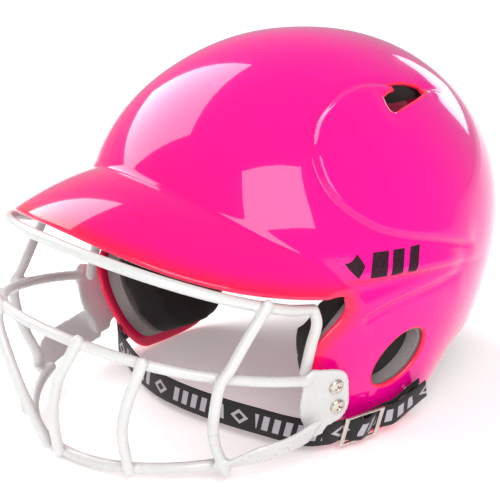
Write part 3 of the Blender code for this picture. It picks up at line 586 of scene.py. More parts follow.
def painted_edge_glow(points):
    """Painted edge glow mask: how near a point of the shell is to its rim, from 0 to 1, with a weaker band
    of painted shade along the upper crease.
    """
    rim = np.concatenate((points[:, -1], points[:, -1] * (-1, 1, 1)))
    flat = points.reshape(-1, 3)
    gap = np.full(len(flat), 1e9)
    for place in rim[::3]:
        gap = np.minimum(gap, ((flat - place) ** 2).sum(1))
    near_rim = np.exp(-(np.sqrt(gap) / 0.0065) ** 2).reshape(points.shape[:2])
    gap, share = to_line(points, UPPER_LINE)
    near_line = np.exp(-(gap / 0.0022) ** 2) * fade(share, 0.05, 0.40) * (points[..., 0] > 0.03)
    return np.maximum(near_rim, 0.6 * near_line)


def make_shell():
    points, keep = open_holes(SCULPTED)
    painted_glow = painted_edge_glow(points)
    build = bmesh.new()
    # The edge attribute holds the mask for the painted edge glow and the crease shade.
    painted_glow_outer_layer = build.verts.layers.float.new("edge")
    for side in (1, -1):
        grid = {}
        for i in range(COLUMNS + 1):
            for j in range(ROWS + 1):
                if keep[i, j]:
                    x, y, z = points[i, j]
                    grid[i, j] = build.verts.new((side * x if i not in (0, COLUMNS) else 0, y, z))
                    grid[i, j][painted_glow_outer_layer] = painted_glow[i, j]
        for i in range(COLUMNS):
            for j in range(ROWS):
                corners = [grid.get(key) for key in ((i, j), (i + 1, j), (i + 1, j + 1), (i, j + 1))]
                if all(corners):
                    build.faces.new(corners if side > 0 else corners[::-1])
    bmesh.ops.remove_doubles(build, verts=build.verts, dist=2e-5)
    bmesh.ops.recalc_face_normals(build, faces=build.faces)
    build.normal_update()
    top = max(build.faces, key=lambda face: face.calc_center_median().z)
    if top.normal.z < 0:
        bmesh.ops.reverse_faces(build, faces=build.faces)
        build.normal_update()
    off = boundary_frames(build)
    normals = {vertex: vertex.normal.copy() for vertex in build.verts}
    rims = [edge for edge in build.edges if edge.is_boundary]
    outside = bpy.data.meshes.new("shell_outside")
    build.to_mesh(outside)
    shell = add_piece("shell_outside", outside, PINK)
    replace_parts(shell, "shell")

    inner = bmesh.new()
    painted_glow_inner_layer = inner.verts.layers.float.new("edge")
    copies = {vertex: inner.verts.new(vertex.co - normals[vertex] * THICKNESS) for vertex in build.verts}
    # Inside gets half of the painted edge glow; the rounded lip gets all of it.
    for vertex, copy in copies.items():
        copy[painted_glow_inner_layer] = vertex[painted_glow_outer_layer] * 0.5
    for face in build.faces:
        inner.faces.new([copies[vertex] for vertex in reversed(face.verts)])
    steps = 6
    rings = {}
    for vertex, out in off.items():
        ring = []
        for k in range(steps):
            turn = math.pi * k / steps
            place = vertex.co + out * LIP * math.sin(turn) - normals[vertex] * LIP * (1 - math.cos(turn))
            point = inner.verts.new(place)
            point[painted_glow_inner_layer] = 1.0
            ring.append(point)
        rings[vertex] = ring + [copies[vertex]]
    for edge in rims:
        a, b = edge.verts
        for k in range(steps):
            quad = (rings[a][k], rings[b][k], rings[b][k + 1], rings[a][k + 1])
            inner.faces.new(quad)
    bmesh.ops.recalc_face_normals(inner, faces=inner.faces)
    inside = bpy.data.meshes.new("shell_inside")
    inner.to_mesh(inside)
    inner.free()
    build.free()
    inside = add_piece("shell_inside", inside, PAINTED_SHADE_PINK)


def make_marks():
    """A plain printed mark over each ear: a lozenge and three slanted bars."""
    shapes = [((0.0, 0.5), (0.10, 1.0), (0.20, 0.5), (0.10, 0.0))]
    for start, width in ((0.27, 0.22), (0.55, 0.15), (0.76, 0.08)):
        shapes.append(((start, 0.0), (start + width, 0.0), (start + width + 0.06, 1.0), (start + 0.06, 1.0)))
    first, last, bottom, top = MARK_PATCH
    for name, side in SIDES:
        build = bmesh.new()
        for corners in shapes:
            a, b, c, d = (np.array(corner) for corner in corners)
            steps = np.linspace(0, 1, 13)
            grid = []
            for u in steps:
                low, high = a + (b - a) * u, d + (c - d) * u
                line = []
                for v in steps:
                    x, y = low + (high - low) * v
                    place = surface_at(
                        first + (last - first) * x, bottom + (top - bottom) * y + MARK_SLOPE * x,
                        -0.00012, SCULPTED)
                    line.append(build.verts.new((side * place.x, place.y, place.z)))
                grid.append(line)
            for i in range(12):
                for j in range(12):
                    build.faces.new((grid[i][j], grid[i + 1][j], grid[i + 1][j + 1], grid[i][j + 1]))
        bmesh.ops.recalc_face_normals(build, faces=build.faces)
        if sum(face.normal.x * face.calc_area() for face in build.faces) * side < 0:
            bmesh.ops.reverse_faces(build, faces=build.faces)
        mesh = bpy.data.meshes.new("side_mark_" + name)
        build.to_mesh(mesh)
        build.free()
        add_piece("side_mark_" + name, mesh, PRINT)


# ---- face guard ---------------------------------------------------------------------------------
WIRE_RADIUS = 0.0031
TOP_WIRE = (0.0957, -0.0527, 0.0960, 0.86, 0.0888, 0.0363, 0.0010)
MIDDLE_WIRE = (0.1016, -0.0505, 0.1066, 1.00, 0.0516, 0.0242, 0.0056)
BOTTOM_WIRE = (0.0945, -0.0344, 0.1086, 0.94, 0.0155, -0.0075, -0.0032)
GUARD_LEG = (
    (0.0955, -0.0490, 0.0885), (0.0958, -0.0468, 0.0800), (0.0955, -0.0500, 0.0700),
    (0.0953, -0.0526, 0.0610), (0.0953, -0.0545, 0.0540))
UPRIGHTS = {
    "outer": (
        (0.0975, -0.0815, 0.1000), (0.0955, -0.0930, 0.0850), (0.0940, -0.1030, 0.0710),
        (0.0932, -0.1092, 0.0640), (0.0905, -0.1105, 0.0500), (0.0855, -0.1080, 0.0350),
        (0.0830, -0.1040, 0.0235), (0.0845, -0.1015, 0.0140), (0.0850, -0.1000, 0.0095)),
    "middle": (
        (0.0680, -0.1375, 0.0760), (0.0665, -0.1395, 0.0690), (0.0610, -0.1405, 0.0570),
        (0.0555, -0.1405, 0.0440), (0.0500, -0.1385, 0.0300), (0.0478, -0.1350, 0.0150),
        (0.0480, -0.1338, 0.0072)),
    "centre": (
        (0.0368, -0.1535, 0.0825), (0.0328, -0.1570, 0.0720), (0.0252, -0.1582, 0.0600),
        (0.0165, -0.1568, 0.0420), (0.0100, -0.1530, 0.0240), (0.0062, -0.1490, 0.0110),
        (0.0056, -0.1483, 0.0072)),
}
PLATE_OUTLINE = (
    (-0.0140, 0.0200), (0.0035, 0.0150), (0.0098, 0.0095), (0.0125, -0.0010), (0.0140, -0.0100),
    (0.0105, -0.0180), (0.0015, -0.0205), (-0.0015, -0.0250), (-0.0110, -0.0245),
    (-0.0135, -0.0170), (-0.0180, -0.0070), (-0.0190, 0.0070), (-0.0180, 0.0170))
PLATE_TURN = math.radians(7)
PLATE_LEAN = math.radians(13)
PLATE_ORIGIN = (0.1009, -0.0420, 0.0402)
SCREW_PLACES = {"upper": (0.0020, 0.0058), "lower": (0.0052, -0.0078)}
ARM_UPPER_EDGE = (
    (0.1040, -0.0500, 0.0300), (0.1030, -0.0665, 0.0266), (0.1015, -0.0765, 0.0252),
    (0.0975, -0.0885, 0.0235), (0.0895, -0.1000, 0.0175), (0.0820, -0.1065, 0.0135))
ARM_LOWER_EDGE = (
    (0.0930, -0.0500, 0.0130), (0.0920, -0.0665, 0.0105), (0.0905, -0.0765, 0.0105),
    (0.0868, -0.0865, 0.0100), (0.0815, -0.0940, 0.0095), (0.0765, -0.1010, 0.0090))
SHEET = 0.0024


def arc_points(shape, end, count=90):
    half_width, y, reach, roundness, low, rise, peak = shape
    turn = np.linspace(-end, end, count)
    along = np.cos(turn)
    return np.stack((
        half_width * np.sin(turn), y - reach * along ** roundness,
        low + rise * along + peak * along ** 4), axis=-1)


def tube(name, points, radius=WIRE_RADIUS, sides=5):
    """A round wire with domed ends, as a mesh."""
    data = bpy.data.curves.new(name, "CURVE")
    data.dimensions = "3D"
    data.bevel_depth = radius
    data.bevel_resolution = sides
    data.use_fill_caps = True
    spline = data.splines.new("POLY")
    first, last = points[0] - points[1], points[-1] - points[-2]
    first, last = first / np.linalg.norm(first), last / np.linalg.norm(last)
    domes = ((1.0, 0.15), (0.85, 0.55), (0.5, 0.87))
    rows = [(points[0] + first * radius * a, b) for a, b in domes] + [(point, 1) for point in points]
    rows += [(points[-1] + last * radius * a, b) for a, b in reversed(domes)]
    spline.points.add(len(rows) - 1)
    for slot, (point, share) in zip(spline.points, rows):
        slot.co = (*point, 1)
        slot.radius = share
    item = bpy.data.objects.new(name, data)
    bpy.context.scene.collection.objects.link(item)
    mesh = bpy.data.meshes.new_from_object(item)
    bpy.data.objects.remove(item)
    return mesh


def plate_matrix(side):
    turn = Matrix.Rotation(-side * PLATE_TURN, 4, "Z") @ Matrix.Rotation(side * PLATE_LEAN, 4, "Y")
    out, back, up = (turn @ Vector(axis) for axis in ((side, 0, 0), (0, 1, 0), (0, 0, 1)))
    columns = Matrix((back, up, out)).transposed().to_4x4()
    x, y, z = PLATE_ORIGIN
    return Matrix.Translation((side * x, y, z)) @ columns


def sheet_mesh(name, upper, lower, thickness, rows=6):
    """A closed sheet of this thickness between two edges, each a list of points."""
    upper, lower = np.asarray(upper), np.asarray(lower)
    count = len(upper)
    shares = np.linspace(0, 1, rows + 1)
    points = upper[:, None] + (lower - upper)[:, None] * shares[None, :, None]
    over, down = np.gradient(points, axis=0), np.gradient(points, axis=1)
    normals = np.cross(over, down)
    normals /= np.linalg.norm(normals, axis=-1, keepdims=True)
    both = np.concatenate((points + normals * thickness / 2, points - normals * thickness / 2))
    build = bmesh.new()
    grid = [[build.verts.new(point) for point in row] for row in both]
    for i in range(count - 1):
        for j in range(rows):
            build.faces.new((grid[i][j], grid[i + 1][j], grid[i + 1][j + 1], grid[i][j + 1]))
            k = i + count
            build.faces.new((grid[k][j], grid[k][j + 1], grid[k + 1][j + 1], grid[k + 1][j]))
        for j in (0, rows):
            build.faces.new((grid[i][j], grid[i + count][j], grid[i + 1 + count][j], grid[i + 1][j]))
    for i in (0, count - 1):
        for j in range(rows):
            build.faces.new((grid[i][j], grid[i][j + 1], grid[i + count][j + 1], grid[i + count][j]))
    bmesh.ops.recalc_face_normals(build, faces=build.faces)
    mesh = bpy.data.meshes.new(name)
    build.to_mesh(mesh)
    build.free()
    return mesh


def plate_mesh(side):
    outline = smooth_route(PLATE_OUTLINE + PLATE_OUTLINE[:1], 60)[:-1]
    matrix = plate_matrix(side)
    build = bmesh.new()
    faces = []
    for height in (SHEET / 2, -SHEET / 2):
        faces.append(build.faces.new([build.verts.new(matrix @ Vector((x, y, height))) for x, y in outline]))
    loops = [list(face.verts) for face in faces]
    for i in range(len(outline)):
        j = (i + 1) % len(outline)
        build.faces.new((loops[0][i], loops[0][j], loops[1][j], loops[1][i]))
    bmesh.ops.recalc_face_normals(build, faces=build.faces)
    mesh = bpy.data.meshes.new("plate")
    build.to_mesh(mesh)
    build.free()
    return mesh


def make_guard():
    """One vinyl-dipped weldment: wires and sheet joined, with the coating rounding each joint."""
    flip = np.array((-1, 1, 1))
    leg = smooth_route(GUARD_LEG, 24)
    arc = arc_points(TOP_WIRE, math.radians(86), 140)
    meshes = [tube("top", np.concatenate(((leg * flip)[::-1], arc, leg)))]
    meshes.append(tube("middle", arc_points(MIDDLE_WIRE, math.radians(85.5), 120)))
    meshes.append(tube("bottom", arc_points(BOTTOM_WIRE, math.radians(57), 110)))
    for route in UPRIGHTS.values():
        points = smooth_route(route, 48)
        meshes += [tube("upright", points), tube("upright", points * flip)]
    for side in (1, -1):
        meshes.append(plate_mesh(side))
        turn = np.array((side, 1, 1))
        upper, lower = smooth_route(ARM_UPPER_EDGE, 40) * turn, smooth_route(ARM_LOWER_EDGE, 40) * turn
        meshes.append(sheet_mesh("arm", upper, lower, SHEET))
    build = bmesh.new()
    for mesh in meshes:
        build.from_mesh(mesh)
        bpy.data.meshes.remove(mesh)
    joined = bpy.data.meshes.new("face_guard")
    build.to_mesh(joined)
    build.free()
    guard = add_piece("face_guard", joined, VINYL)
    remesh = guard.modifiers.new("coat", "REMESH")
    remesh.mode = "VOXEL"
    remesh.voxel_size = 0.0009
    smooth = guard.modifiers.new("smooth", "SMOOTH")
    smooth.factor = 0.5
    smooth.iterations = 10
    apply_modifiers(guard)
    guard.data.shade_smooth()
    names = ["guard_top_wire", "guard_middle_wire", "guard_bottom_wire"]
    for side, _ in SIDES:
        names += [f"guard_{place}_upright_{side}" for place in UPRIGHTS]
        names += ["guard_plate_" + side, "guard_arm_" + side]
    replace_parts(guard, *names)


def screw_matrix(side, place, height):
    return plate_matrix(side) @ Matrix.Translation((*place, height))


def turned_mesh(name, profile, matrix, steps=32):
    """A solid turned about its own Z from a profile of (radius, height)."""
    build = bmesh.new()
    rings = []
    for radius, height in profile:
        if radius == 0:
            rings.append([build.verts.new((0, 0, height))])
            continue
        turns = [2 * math.pi * k / steps for k in range(steps)]
        rings.append([build.verts.new((radius * math.cos(t), radius * math.sin(t), height)) for t in turns])
    for upper, lower in zip(rings, rings[1:]):
        for k in range(steps):
            n = (k + 1) % steps
            corners = [upper[i % len(upper)] for i in (k, n)] + [lower[i % len(lower)] for i in (n, k)]
            corners = list(dict.fromkeys(corners))
            if len(corners) > 2:
                build.faces.new(corners)
    bmesh.ops.recalc_face_normals(build, faces=build.faces)
    build.transform(matrix)
    mesh = bpy.data.meshes.new(name)
    build.to_mesh(mesh)
    build.free()
    return mesh


def make_screws():
    """Pan-head screws with a cross recess, a washer face and a plain shank."""
    dome = [(0.0043 * math.sin(t), 0.0001 + 0.0023 * math.cos(t) ** 0.8) for t in np.linspace(0.2, 1.45, 9)]
    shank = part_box("guard_screw_left_upper")
    length = (shank[1] - shank[0]).length * 0.68
    for name, side in SIDES:
        for level, place in SCREW_PLACES.items():
            matrix = screw_matrix(side, place, SHEET / 2 + 0.0002)
            profile = [(0, dome[0][1])] + dome + [(0.0043, 0), (0.0022, 0), (0.0022, -length), (0, -length)]
            mesh = turned_mesh(f"screw_{name}_{level}", profile, matrix)
            screw = add_piece(f"screw_{name}_{level}", mesh, NICKEL)
            cutters = []
            for turn in (math.radians(20), math.radians(110)):
                build = bmesh.new()
                bmesh.ops.create_cube(build, size=1)
                build.transform(Matrix.Diagonal((0.0048, 0.0010, 0.0020, 1)))
                for vertex in build.verts:
                    if vertex.co.z < 0:
                        vertex.co.x *= 0.55
                        vertex.co.y *= 0.6
                mesh = bpy.data.meshes.new("recess")
                build.to_mesh(mesh)
                build.free()
                cutter = bpy.data.objects.new("recess", mesh)
                bpy.context.scene.collection.objects.link(cutter)
                lift = Matrix.Translation((0, 0, 0.0020))
                cutter.matrix_world = matrix @ lift @ Matrix.Rotation(turn, 4, "Z")
                cut = screw.modifiers.new("recess", "BOOLEAN")
                cut.object = cutter
                cutters.append(cutter)
            apply_modifiers(screw)
            screw.data.shade_smooth()
            screw.data.set_sharp_from_angle(angle=math.radians(40))
            for cutter in cutters:
                bpy.data.objects.remove(cutter)
            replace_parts(screw, f"guard_screw_{name}_{level}")


# ---- lining -------------------------------------------------------------------------------------
BASE_DEPTH = THICKNESS + 0.0010
BASE_THICKNESS = 0.0080
SOFT_DEPTH = BASE_DEPTH + BASE_THICKNESS + 0.0006
CHEEK_PATCH = (0.440, 0.722, 0.635, 0.985)
EAR_PATCH = (0.452, 0.720, 0.655, 0.985)
FRONT_PATCH = (-0.235, 0.235, 0.400, 0.590)
REAR_PATCH = (0.815, 1.185, 0.640, 0.985)
PAD_ROUNDING = 0.18


def pad_mesh(name, patch, depth, thickness, side=1, counts=(44, 34), edge=0.0, draft=0.97):
    """A closed pad under part of the shell, with rounded corners and edges."""
    first, last, top, bottom = patch
    columns, rows = counts
    build = bmesh.new()
    layers = []
    for inside in (0, 1):
        grid = []
        for i in range(columns + 1):
            line = []
            for j in range(rows + 1):
                x, y = 2 * i / columns - 1, 2 * j / rows - 1
                rim = max(abs(x), abs(y))
                roll = ease((rim - 0.86) / 0.14) * edge
                x, y = x * (1 - PAD_ROUNDING * y ** 4), y * (1 - PAD_ROUNDING * x ** 4)
                if inside:
                    x, y = x * draft, y * draft
                u, v = (x + 1) / 2, (y + 1) / 2
                deep = depth + (thickness - roll if inside else roll * 0.4)
                place = surface_at(first + (last - first) * u, top + (bottom - top) * v, deep)
                line.append(build.verts.new((side * place.x, place.y, place.z)))
            grid.append(line)
        layers.append(grid)
    outer, inner = layers
    for i in range(columns):
        for j in range(rows):
            build.faces.new((outer[i][j], outer[i + 1][j], outer[i + 1][j + 1], outer[i][j + 1]))
            build.faces.new((inner[i][j], inner[i][j + 1], inner[i + 1][j + 1], inner[i + 1][j]))
    loop = [(i, 0) for i in range(columns)] + [(columns, j) for j in range(rows)]
    loop += [(i, rows) for i in range(columns, 0, -1)] + [(0, j) for j in range(rows, 0, -1)]
    for (a, b), (c, d) in zip(loop, loop[1:] + loop[:1]):
        build.faces.new((outer[a][b], inner[a][b], inner[c][d], outer[c][d]))
    bmesh.ops.remove_doubles(build, verts=build.verts, dist=1e-6)
    bmesh.ops.recalc_face_normals(build, faces=build.faces)
    mesh = bpy.data.meshes.new(name)
    build.to_mesh(mesh)
    build.free()
    return mesh


def bevel_edges(item, width, segments=3):
    bevel = item.modifiers.new("round", "BEVEL")
    bevel.width = width
    bevel.segments = segments
    bevel.limit_method = "ANGLE"
    bevel.angle_limit = math.radians(50)
    return item


def swell(item, pressure=4.0, cap=0.0016):
    """Plumps a soft pad by a short cloth simulation, with each point's travel capped."""
    remesh = item.modifiers.new("even", "REMESH")
    remesh.mode = "VOXEL"
    remesh.voxel_size = 0.004
    apply_modifiers(item)
    rest = np.array([vertex.co for vertex in item.data.vertices])
    cloth = item.modifiers.new("foam", "CLOTH")
    cloth.settings.use_pressure = True
    cloth.settings.uniform_pressure_force = pressure
    cloth.settings.effector_weights.gravity = 0
    cloth.settings.quality = 5
    for number in range(1, 21):
        bpy.context.scene.frame_set(number)
    graph = bpy.context.evaluated_depsgraph_get()
    moved = np.array([vertex.co for vertex in item.evaluated_get(graph).data.vertices])
    item.modifiers.clear()
    bpy.context.scene.frame_set(1)
    travel = moved - rest
    length = np.maximum(np.linalg.norm(travel, axis=1, keepdims=True), 1e-9)
    rest = rest + travel * np.minimum(length, cap) / length
    item.data.vertices.foreach_set("co", rest.ravel())
    smooth = item.modifiers.new("smooth", "SMOOTH")
    smooth.iterations = 2
    fine = item.modifiers.new("fine", "SUBSURF")
    fine.levels = fine.render_levels = 1
    apply_modifiers(item)
    item.data.shade_smooth()
    return item


def soft_pad(node, patch, depth, thickness, side=1):
    mesh = pad_mesh("soft_" + node, patch, depth + 0.0008, thickness - 0.0016, side, draft=0.95)
    pad = add_piece("soft_" + node, mesh, BLACK_FOAM)
    swell(pad)
    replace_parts(pad, node)


def ear_cutter(side):
    """An oval prism through the ear hole's pocket in the foam."""
    build = bmesh.new()
    bmesh.ops.create_cone(build, cap_ends=True, segments=64, radius1=1, radius2=1, depth=0.06)
    build.transform(Matrix.Diagonal((*EAR_POCKET_RADII, 1, 1)))
    mesh = bpy.data.meshes.new("pocket")
    build.to_mesh(mesh)
    build.free()
    item = bpy.data.objects.new("pocket", mesh)
    bpy.context.scene.collection.objects.link(item)
    along = Vector((0, math.cos(EAR_TILT), math.sin(EAR_TILT)))
    out = Vector((side, 0, 0))
    columns = Matrix((along, out.cross(along), out)).transposed().to_4x4()
    item.matrix_world = Matrix.Translation((side * HALF_WIDTH, *EAR_HOLE)) @ columns
    return item


def base_pad(node, patch, side=1):
    mesh = pad_mesh("base_" + node, patch, BASE_DEPTH, BASE_THICKNESS, side)
    pad = bevel_edges(add_piece("base_" + node, mesh, GREY_FOAM), 0.0006)
    if node.startswith("ear"):
        pocket = ear_cutter(side)
        cut = pad.modifiers.new("pocket", "BOOLEAN")
        cut.object = pocket
        apply_modifiers(pad)
        bpy.data.objects.remove(pocket)
    apply_modifiers(pad)
    pad.data.shade_smooth()
    pad.data.set_sharp_from_angle(angle=math.radians(45))
    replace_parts(pad, node)


def make_lining():
    for name, side in SIDES:
        base_pad("ear_pad_base_" + name, EAR_PATCH, side)
        soft_pad("ear_pad_" + name, CHEEK_PATCH, SOFT_DEPTH, 0.0240, side)
        soft_pad("side_pad_" + name, (0.300, 0.740, 0.330, 0.590), BASE_DEPTH, 0.0150, side)
    base_pad("front_pad_base", FRONT_PATCH)
    soft_pad("front_pad", FRONT_PATCH, SOFT_DEPTH, 0.0100)
    base_pad("rear_pad_base", REAR_PATCH)
    soft_pad("rear_pad", REAR_PATCH, SOFT_DEPTH, 0.0110)
    low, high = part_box("crown_pad")
    middle, half = (low + high) / 2, (high - low) / 2
    build = bmesh.new()
    bmesh.ops.create_grid(build, x_segments=40, y_segments=40, size=1)
    bmesh.ops.delete(
        build, geom=[v for v in build.verts if v.co.to_2d().length > 1.02], context="VERTS")
    top = bmesh.ops.extrude_face_region(build, geom=build.faces[:])["geom"]
    raised = {item for item in top if isinstance(item, bmesh.types.BMVert)}
    for vertex in build.verts:
        x, y = vertex.co.x, vertex.co.y
        across, along = middle.x + half.x * x * 0.95, middle.y + half.y * y * 0.95
        round_off = 1 - (across / HALF_WIDTH) ** 2 - ((along - CROWN_Y) / MEAN_LENGTH) ** 2
        height = EQUATOR_Z + CROWN_RISE * math.sqrt(max(round_off, 0)) - BASE_DEPTH - 0.0015
        vertex.co = (across, along, height - (0 if vertex in raised else 0.0125))
    bmesh.ops.recalc_face_normals(build, faces=build.faces)
    mesh = bpy.data.meshes.new("soft_crown_pad")
    build.to_mesh(mesh)
    build.free()
    pad = swell(add_piece("soft_crown_pad", mesh, BLACK_FOAM))
    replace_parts(pad, "crown_pad")


# ---- chin strap ---------------------------------------------------------------------------------
STRAP_WIDTH = 0.016
STRAP_THICKNESS = 0.0012
STRAP_LEAN = 0.36
STRAP_LEAN_START = 0.0850
STRAP_LEAN_END = 0.0955
STRAP_TAIL = ((0.0245, 0.0272, 0.0070), (0.0150, 0.0226, 0.0072), (0.0060, 0.0178, 0.0072))
STRAP_FREE = (
    (0.0935, -0.0360, 0.0130), (0.0860, -0.0440, 0.0132), (0.0740, -0.0498, 0.0134),
    (0.0600, -0.0540, 0.0134), (0.0430, -0.0588, 0.0133), (0.0240, -0.0628, 0.0132),
    (0.0030, -0.0655, 0.0131), (-0.0180, -0.0655, 0.0130), (-0.0400, -0.0610, 0.0130),
    (-0.0600, -0.0540, 0.0130), (-0.0790, -0.0465, 0.0131), (-0.0935, -0.0350, 0.0133),
    (-0.0995, -0.0200, 0.0138), (-0.1025, -0.0060, 0.0149))
STRAP_END = ((0.0060, 0.0180, 0.0038), (0.0150, 0.0223, 0.0034), (0.0245, 0.0270, 0.0034))
ANCHOR_FLAP = ((0.0060, 0.0178, 0.0041), (0.0150, 0.0226, 0.0034), (0.0235, 0.0264, 0.0034))
SLIDER_CENTRE = (0.0995, -0.0165, 0.0130)
SLIDER_RUN = (0.0030, 0.0235, 0.0004)
SLIDER_LENGTH = 0.0260
SLIDER_HEIGHT = 0.0205
SLIDER_WALL = 0.0028
SLIDER_THICKNESS = 0.0016
STRAP_THREAD = (
    (0.0150, -0.0019), (0.0100, -0.0019), (0.0022, 0.0018), (-0.0022, 0.0018),
    (-0.0100, -0.0019), (-0.0150, -0.0019))
ANCHOR_THREAD = ((-0.0020, -0.0022), (0.0060, -0.0030), (0.0150, -0.0038))


def flap_point(y, z, height, side=1):
    """The point this high above the outside of a flap, over the place with this Y and Z."""
    polar = float(polar_of(z))
    azimuth = math.pi / 2
    for _ in range(12):
        azimuth -= (float(crown_point(azimuth, polar)[1]) - y) / MEAN_LENGTH
    here = Vector(crown_point(azimuth, polar))
    over = Vector(crown_point(azimuth + 0.02, polar)) - here
    down = Vector(crown_point(azimuth, float(polar_of(z - 0.002)))) - here
    out = over.cross(down).normalized()
    point = here + out * math.copysign(height, out.x)
    return Vector((side * point.x, point.y, point.z))


def strap_width_direction(point, along):
    share = (abs(point.x) - STRAP_LEAN_START) / (STRAP_LEAN_END - STRAP_LEAN_START)
    up = Vector((math.copysign(STRAP_LEAN * float(ease(share)), point.x), 0, 1))
    return (up - along * (up.dot(along) / along.length_squared)).normalized()


def slider_matrix():
    centre, along = Vector(SLIDER_CENTRE), Vector(SLIDER_RUN).normalized()
    up = strap_width_direction(centre, along)
    columns = Matrix((along, up, along.cross(up))).transposed().to_4x4()
    return Matrix.Translation(centre) @ columns


def webbing_band(name, route, count):
    """A woven band: flat, with rounded selvedges and a little twist and wave along its run."""
    points = [Vector(point) for point in smooth_route([tuple(point) for point in route], count)]
    across = (-0.5, -0.485, -0.44, -0.25, 0.0, 0.25, 0.44, 0.485, 0.5)
    thick = (0.0, 0.55, 0.9, 1.0, 1.0, 1.0, 0.9, 0.55, 0.0)
    build = bmesh.new()
    run = build.loops.layers.uv.new("run")
    sections, travelled = [], 0.0
    for k, point in enumerate(points):
        along = points[min(k + 1, count - 1)] - points[max(k - 1, 0)]
        up = strap_width_direction(point, along)
        out = along.cross(up).normalized()
        if k:
            travelled += (point - points[k - 1]).length
        section = []
        for face in (1, -1):
            columns = range(len(across)) if face > 0 else range(len(across) - 2, 0, -1)
            for i in columns:
                place = point + up * STRAP_WIDTH * across[i] + out * face * thick[i] * STRAP_THICKNESS / 2
                section.append((build.verts.new(place), travelled, across[i] + 0.5))
        sections.append(section)
    size = len(sections[0])
    for first, second in zip(sections, sections[1:]):
        for i in range(size):
            j = (i + 1) % size
            corners = (first[i], first[j], second[j], second[i])
            face = build.faces.new([corner[0] for corner in corners])
            for loop, corner in zip(face.loops, corners):
                loop[run].uv = corner[1:]
    for section in (sections[0], sections[-1]):
        build.faces.new([corner[0] for corner in section])
    bmesh.ops.recalc_face_normals(build, faces=build.faces)
    mesh = bpy.data.meshes.new(name)
    build.to_mesh(mesh)
    build.free()
    band = add_piece(name, mesh, WEBBING, "strap")
    band.data.set_sharp_from_angle(angle=math.radians(60))
    return band


def make_strap():
    matrix = slider_matrix()
    tail = [flap_point(*place) for place in STRAP_TAIL]
    through = [matrix @ Vector((x, 0, height)) for x, height in STRAP_THREAD]
    end = [flap_point(*place, side=-1) for place in STRAP_END]
    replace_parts(webbing_band("strap_webbing", [*tail, *through, *STRAP_FREE, *end], 300), "chin_strap")
    under = [matrix @ Vector((x, 0, height)) for x, height in ANCHOR_THREAD]
    flap = [flap_point(*place) for place in ANCHOR_FLAP]
    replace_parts(webbing_band("anchor_webbing", [*under, *flap], 60), "strap_anchor")


def make_slider():
    """A stamped three-bar slide with softened edges."""
    half_length, half_height = SLIDER_LENGTH / 2, SLIDER_HEIGHT / 2
    wall, inset = SLIDER_WALL, SLIDER_WALL / 2
    xs = (-half_length, -half_length + wall, -wall / 2, wall / 2, half_length - wall, half_length)
    ys = (-half_height, -half_height + inset, half_height - inset, half_height)
    build = bmesh.new()
    grid = [[build.verts.new((x, y, -SLIDER_THICKNESS / 2)) for y in ys] for x in xs]
    for i in range(5):
        for j in range(3):
            if i in (1, 3) and j == 1:
                continue
            build.faces.new((grid[i][j], grid[i + 1][j], grid[i + 1][j + 1], grid[i][j + 1]))
    top = bmesh.ops.extrude_face_region(build, geom=build.faces[:])["geom"]
    for item in top:
        if isinstance(item, bmesh.types.BMVert):
            item.co.z += SLIDER_THICKNESS
    bmesh.ops.recalc_face_normals(build, faces=build.faces)
    build.transform(slider_matrix())
    mesh = bpy.data.meshes.new("buckle")
    build.to_mesh(mesh)
    build.free()
    buckle = add_piece("buckle", mesh, NICKEL, "strap")
    bevel_edges(buckle, 0.0006)
    apply_modifiers(buckle)
    buckle.data.shade_smooth()
    buckle.data.set_sharp_from_angle(angle=math.radians(35))
    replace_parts(buckle, "strap_slider")


def finish_cad_nodes():
    """Nuts, studs and caps keep their CAD shape, with the plated finish and soft shading."""
    for name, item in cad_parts.items():
        if item.hide_render:
            continue
        item.data.materials.clear()
        item.data.materials.append(NICKEL)
        item.data.shade_smooth()
        item.data.set_sharp_from_angle(angle=math.radians(35))
        bevel_edges(item, 0.0002, 2)


# ---- studio -------------------------------------------------------------------------------------
def softbox(name, place, target, width, height, power):
    data = bpy.data.lights.new(name, "AREA")
    data.shape = "RECTANGLE"
    data.size = width
    data.size_y = height
    data.energy = power
    item = bpy.data.objects.new(name, data)
    bpy.context.scene.collection.objects.link(item)
    item.location = place
    item.rotation_euler = (Vector(place) - Vector(target)).to_track_quat("Z", "Y").to_euler()


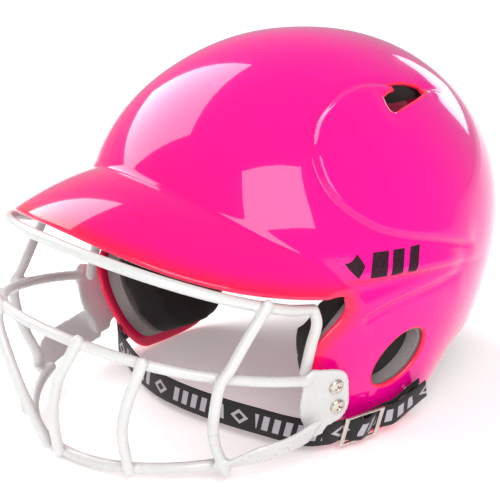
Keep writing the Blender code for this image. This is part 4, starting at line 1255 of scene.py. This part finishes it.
def make_studio():
    bpy.context.scene.view_settings.view_transform = "Standard"
    build = bmesh.new()
    bmesh.ops.create_grid(build, x_segments=8, y_segments=8, size=4)
    mesh = bpy.data.meshes.new("floor")
    build.to_mesh(mesh)
    build.free()
    floor = bpy.data.objects.new("floor", mesh)
    bpy.context.scene.collection.objects.link(floor)
    material, tree, shader = new_material("floor", (0.95, 0.95, 0.95), 0.8, Emission_Strength=0.22)
    shader.inputs["Emission Color"].default_value = (1, 1, 1, 1)
    tree.links.new(
        blend_colours(tree, noise(tree, 3), (0.945, 0.945, 0.945), (0.955, 0.955, 0.955)),
        shader.inputs["Base Color"])
    mesh.materials.append(material)
    floor.location = (0, 0, -0.0002)
    world = bpy.data.worlds.new("studio")
    world.use_nodes = True
    bpy.context.scene.world = world
    background = world.node_tree.nodes["Background"]
    background.inputs["Color"].default_value = (1, 1, 1, 1)
    background.inputs["Strength"].default_value = 0.42
    centre = (0, 0, 0.1)
    softbox("key", (-1.18, -0.22, 1.08), centre, 1.30, 1.15, 25)
    softbox("side", (1.12, -0.70, 1.05), centre, 1.15, 1.10, 23)
    softbox("rear", (-0.45, 1.55, 0.42), centre, 0.50, 0.45, 2.2)


def make_camera():
    data = bpy.data.cameras.new("camera")
    camera = bpy.data.objects.new("camera", data)
    bpy.context.scene.collection.objects.link(camera)
    azimuth, elevation, roll = math.radians(49.3), math.radians(20), math.radians(-0.39)
    back = Vector((
        math.sin(azimuth) * math.cos(elevation), -math.cos(azimuth) * math.cos(elevation),
        math.sin(elevation)))
    level = Vector((math.cos(azimuth), math.sin(azimuth), 0))
    rise = back.cross(level)
    right = level * math.cos(roll) + rise * math.sin(roll)
    up = rise * math.cos(roll) - level * math.sin(roll)
    place = back * 0.847 + right * 0.028 + up * 0.047 + Vector((0, -0.0465, 0.044))
    camera.matrix_world = Matrix.Translation(place) @ Matrix((right, up, back)).transposed().to_4x4()
    data.lens = 108
    data.sensor_width = 36
    data.clip_start = 0.05
    data.clip_end = 30
    bpy.context.scene.camera = camera


make_shell()
make_marks()
make_guard()
make_screws()
make_lining()
make_strap()
make_slider()
finish_cad_nodes()
make_studio()
make_camera()
